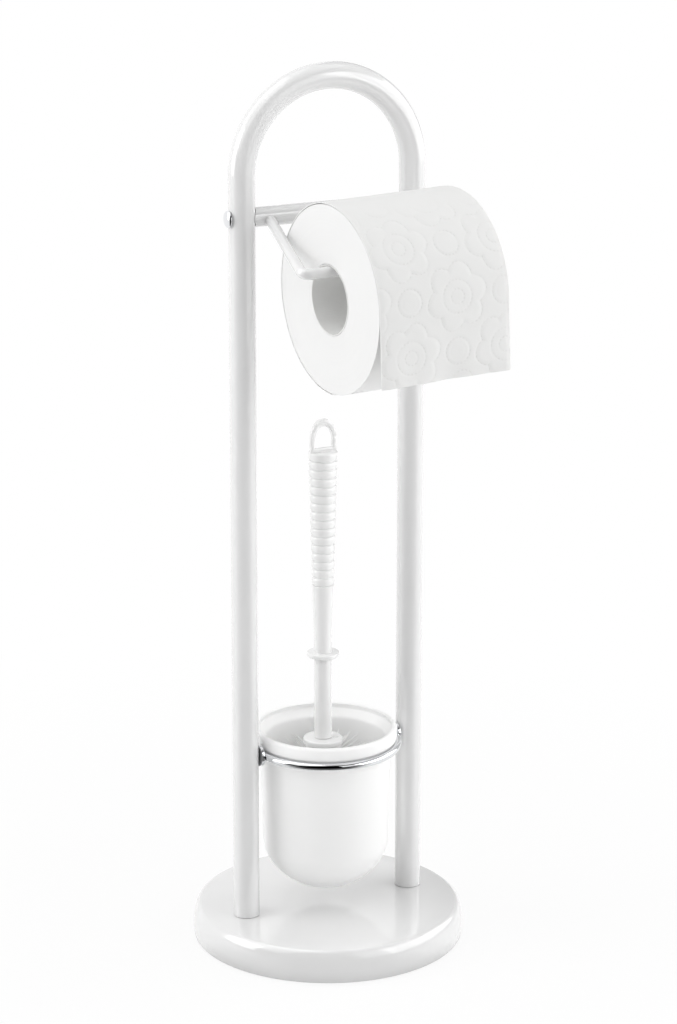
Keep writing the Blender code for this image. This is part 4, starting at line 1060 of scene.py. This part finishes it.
class HOLDER_OT_brush(HolderOperator, Operator):
    """Make the brush: ribbed handle, hanging loop, hub, sleeve and strands"""

    bl_idname = "holder.brush"
    bl_label = "Toilet Brush"

    def execute(self, context):
        settings = context.scene.holder
        plastic = moulded_plastic()
        handle, loop, hub, sleeve, strands = (points + BRUSH_CENTRE for points in (
            spun(handle_line(), 56), loop_surface(), hub_surface(), sleeve_surface(),
            strand_points(settings.strand_columns, settings.strand_rows)))
        make("ribbed_handle", handle, "brush", plastic, "white_plastic", ["brush_handle"], sharp=radians(50))
        make("hanging_loop", loop, "brush", plastic, "white_plastic", wrap=CLOSED)
        make("bristle_hub", hub, "brush", plastic, "white_plastic", ["brush_hub"])
        make("bristle_sleeve", sleeve, "brush", nylon(), "bristle", wrap=CLOSED)
        dress(add_strands("bristle_strands", strands), "brush", nylon(), ["brush_bristles"])
        return {"FINISHED"}


class HOLDER_OT_roll(HolderOperator, Operator):
    """Make the card core and the wound paper"""

    bl_idname = "holder.roll"
    bl_label = "Paper Roll"

    def execute(self, context):
        make("card_core", core_surface(), "roll", card(), "card", ["roll_core"], wrap=CLOSED)
        points, radii = wound_surface()
        uv = (ramp(0, 1, points.shape[1] + 1), np.append(radii, radii[0]) / TURN_PITCH)
        make("wound_paper", points, "roll", wound_tissue(), "wound_tissue", ["roll_paper"],
             wrap=CLOSED, uv=uv)
        return {"FINISHED"}


class HOLDER_OT_sheet(HolderOperator, Operator):
    """Make the outer turn of paper with its hanging end"""

    bl_idname = "holder.sheet"
    bl_label = "Hanging Sheet"

    def execute(self, context):
        points, uv = tail_surface(context.scene.holder.motif_spacing)
        piece = add_surface("hanging_paper", points, (False, False), uv)
        wall = piece.modifiers.new("wall", "SOLIDIFY")
        wall.thickness = PAPER_THICKNESS
        wall.offset = -1.0
        dress(piece, "hanging_sheet", embossed_tissue(context.scene.holder), ["paper_tail"])
        return {"FINISHED"}


class HOLDER_OT_hardware(HolderOperator, Operator):
    """Finish the pieces of the frame that keep their own shape"""

    bl_idname = "holder.hardware"
    bl_label = "Weight, Pad and Fastenings"

    def execute(self, context):
        finishes = {"base_weight": cement(), "base_pad": rubber()}
        for node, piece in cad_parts.items():
            if not piece.hide_render:
                piece.data.materials.clear()
                piece.data.materials.append(finishes.get(node, zinc()))
        return {"FINISHED"}


class HOLDER_OT_studio(HolderOperator, Operator):
    """Set up the pale floor, the soft lamps, the world and the camera"""

    bl_idname = "holder.studio"
    bl_label = "Studio"

    def execute(self, context):
        scene = context.scene
        build_floor(scene.holder)
        build_world(scene)
        build_lamps(scene.holder)
        build_camera(scene)
        scene.view_settings.view_transform = "Standard"
        return {"FINISHED"}


# Studio

def level_mask(tree, vector, angle, *steps):
    """Smooth step of how far a vector reaches along the level way at an angle from X."""
    parts = split(tree, vector)
    across = maths(tree, "MULTIPLY", parts["Y"], sin(angle))
    return smooth(tree, maths(tree, "MULTIPLY_ADD", parts["X"], cos(angle), across), *steps)


def build_floor(settings):
    """Round pale floor: mostly its own colour to camera, glossy and transmission rays, so the shade of the
    object stays on it, and dark in reflections where it lies before the object."""
    material, tree, shader = start_material("studio floor")
    set_inputs(shader, {"Base Color": FLOOR_COLOUR, "Roughness": 0.9, "Specular IOR Level": 0.0})
    place = object_coordinates(tree)
    light = add_node(tree, "LightPath")
    behind = level_mask(tree, vector_maths(tree, "NORMALIZE", place)["Vector"], VIEW_WAY, *FLOOR_BEHIND)
    level = maths(tree, "MAXIMUM", behind, maths(tree, "SUBTRACT", 1.0, light["Is Glossy Ray"]))
    glow = add_node(tree, "Emission", {"Color": settings.backdrop, "Strength": level})[0]
    mirror = maths(tree, "MAXIMUM", light["Is Glossy Ray"], light["Is Transmission Ray"])
    direct = maths(tree, "MAXIMUM", light["Is Camera Ray"], mirror)
    far = smooth(tree, vector_maths(tree, "LENGTH", place)["Value"], *FLOOR_FADE)
    mixed = add_node(tree, "MixShader", {
        0: maths(tree, "MULTIPLY", direct, far), 1: shader.outputs[0], 2: glow})
    set_inputs(tree.nodes["Material Output"], {"Surface": mixed[0]})
    floor = add_surface("studio_floor", polar(ramp(0, FLOOR_RADIUS, 2)[:, None], around(64), -FLOOR_DROP))
    floor.data.materials.append(material)


def build_world(scene):
    """World: the backdrop colour to the camera, an even glow for what is lit, and for reflections the
    backdrop behind the object easing to a dark room round the camera."""
    settings = scene.holder
    scene.world = bpy.data.worlds.new("studio")
    scene.world.use_nodes = True
    tree = scene.world.node_tree
    way = add_node(tree, "TexCoord")["Generated"]
    level = maths(tree, "MULTIPLY", level_mask(tree, way, VIEW_WAY, *WORLD_BEHIND),
                  level_mask(tree, way, VIEW_AZIMUTH, *WORLD_PANEL))
    room, plain, glow = (
        add_node(tree, "Background", {"Color": settings.backdrop, "Strength": strength})[0]
        for strength in (level, 1.0, settings.glow))
    light = add_node(tree, "LightPath")
    direct = maths(tree, "MAXIMUM", light["Is Camera Ray"], light["Is Transmission Ray"])
    lit = add_node(tree, "MixShader", {0: light["Is Glossy Ray"], 1: glow, 2: room})[0]
    mixed = add_node(tree, "MixShader", {0: direct, 1: lit, 2: plain})[0]
    set_inputs(tree.nodes["World Output"], {"Surface": mixed})


def set_up(name, data, target, azimuth, elevation, distance):
    """Put a lamp or the camera where two angles and a distance from its target say, facing the target."""
    back = Vector((sin(azimuth) * cos(elevation), -cos(azimuth) * cos(elevation), sin(elevation)))
    made = bpy.data.objects.new(name, data)
    made.location = target + back * distance
    made.rotation_euler = back.to_track_quat("Z", "Y").to_euler()
    bpy.context.scene.collection.objects.link(made)
    return made


def build_lamps(settings):
    """Broad lamps at the left, low and high, one overhead and a bank of them round the right."""
    for name, (azimuth, elevation, width, height, share) in LAMPS.items():
        data = bpy.data.lights.new(name, "AREA")
        data.shape = "RECTANGLE"
        data.size, data.size_y = width, height
        data.energy = settings.side_light * share
        lamp = set_up(name, data, LAMP_TARGET, radians(azimuth), radians(elevation), LAMP_DISTANCE)
        lamp.visible_camera = False


def build_camera(scene):
    """Camera at the photograph's angle, looking at the middle of the holder."""
    data = bpy.data.cameras.new("camera")
    data.lens = VIEW_LENS
    data.sensor_width = 36.0
    data.shift_x, data.shift_y = VIEW_SHIFT
    data.clip_start, data.clip_end = 0.05, 40.0
    scene.camera = set_up("camera", data, VIEW_TARGET, VIEW_AZIMUTH, VIEW_ELEVATION, VIEW_DISTANCE)


STEPS = (HOLDER_OT_base, HOLDER_OT_frame, HOLDER_OT_arm, HOLDER_OT_ring, HOLDER_OT_bowl, HOLDER_OT_brush,
         HOLDER_OT_roll, HOLDER_OT_sheet, HOLDER_OT_hardware, HOLDER_OT_studio)


class HOLDER_PT_panel(Panel):
    """Sidebar panel with the settings and every step."""

    bl_label = "Roll Holder"
    bl_idname = "HOLDER_PT_panel"
    bl_space_type = "VIEW_3D"
    bl_region_type = "UI"
    bl_category = "Roll Holder"

    def draw(self, context):
        column = self.layout.column()
        for name in HolderSettings.__annotations__:
            column.prop(context.scene.holder, name)
        for step in STEPS:
            column.operator(step.bl_idname)


CLASSES = (HolderSettings, *STEPS, HOLDER_PT_panel)


def register():
    """Register the classes and the scene's settings."""
    for each in CLASSES:
        bpy.utils.register_class(each)
    bpy.types.Scene.holder = bpy.props.PointerProperty(type=HolderSettings)


def unregister():
    """Remove the scene's settings and the classes."""
    del bpy.types.Scene.holder
    for each in reversed(CLASSES):
        bpy.utils.unregister_class(each)


def main():
    """Make every piece in order."""
    register()
    for step in STEPS:
        area, action = step.bl_idname.split(".")
        getattr(getattr(bpy.ops, area), action)()


if __name__ == "__main__":
    main()
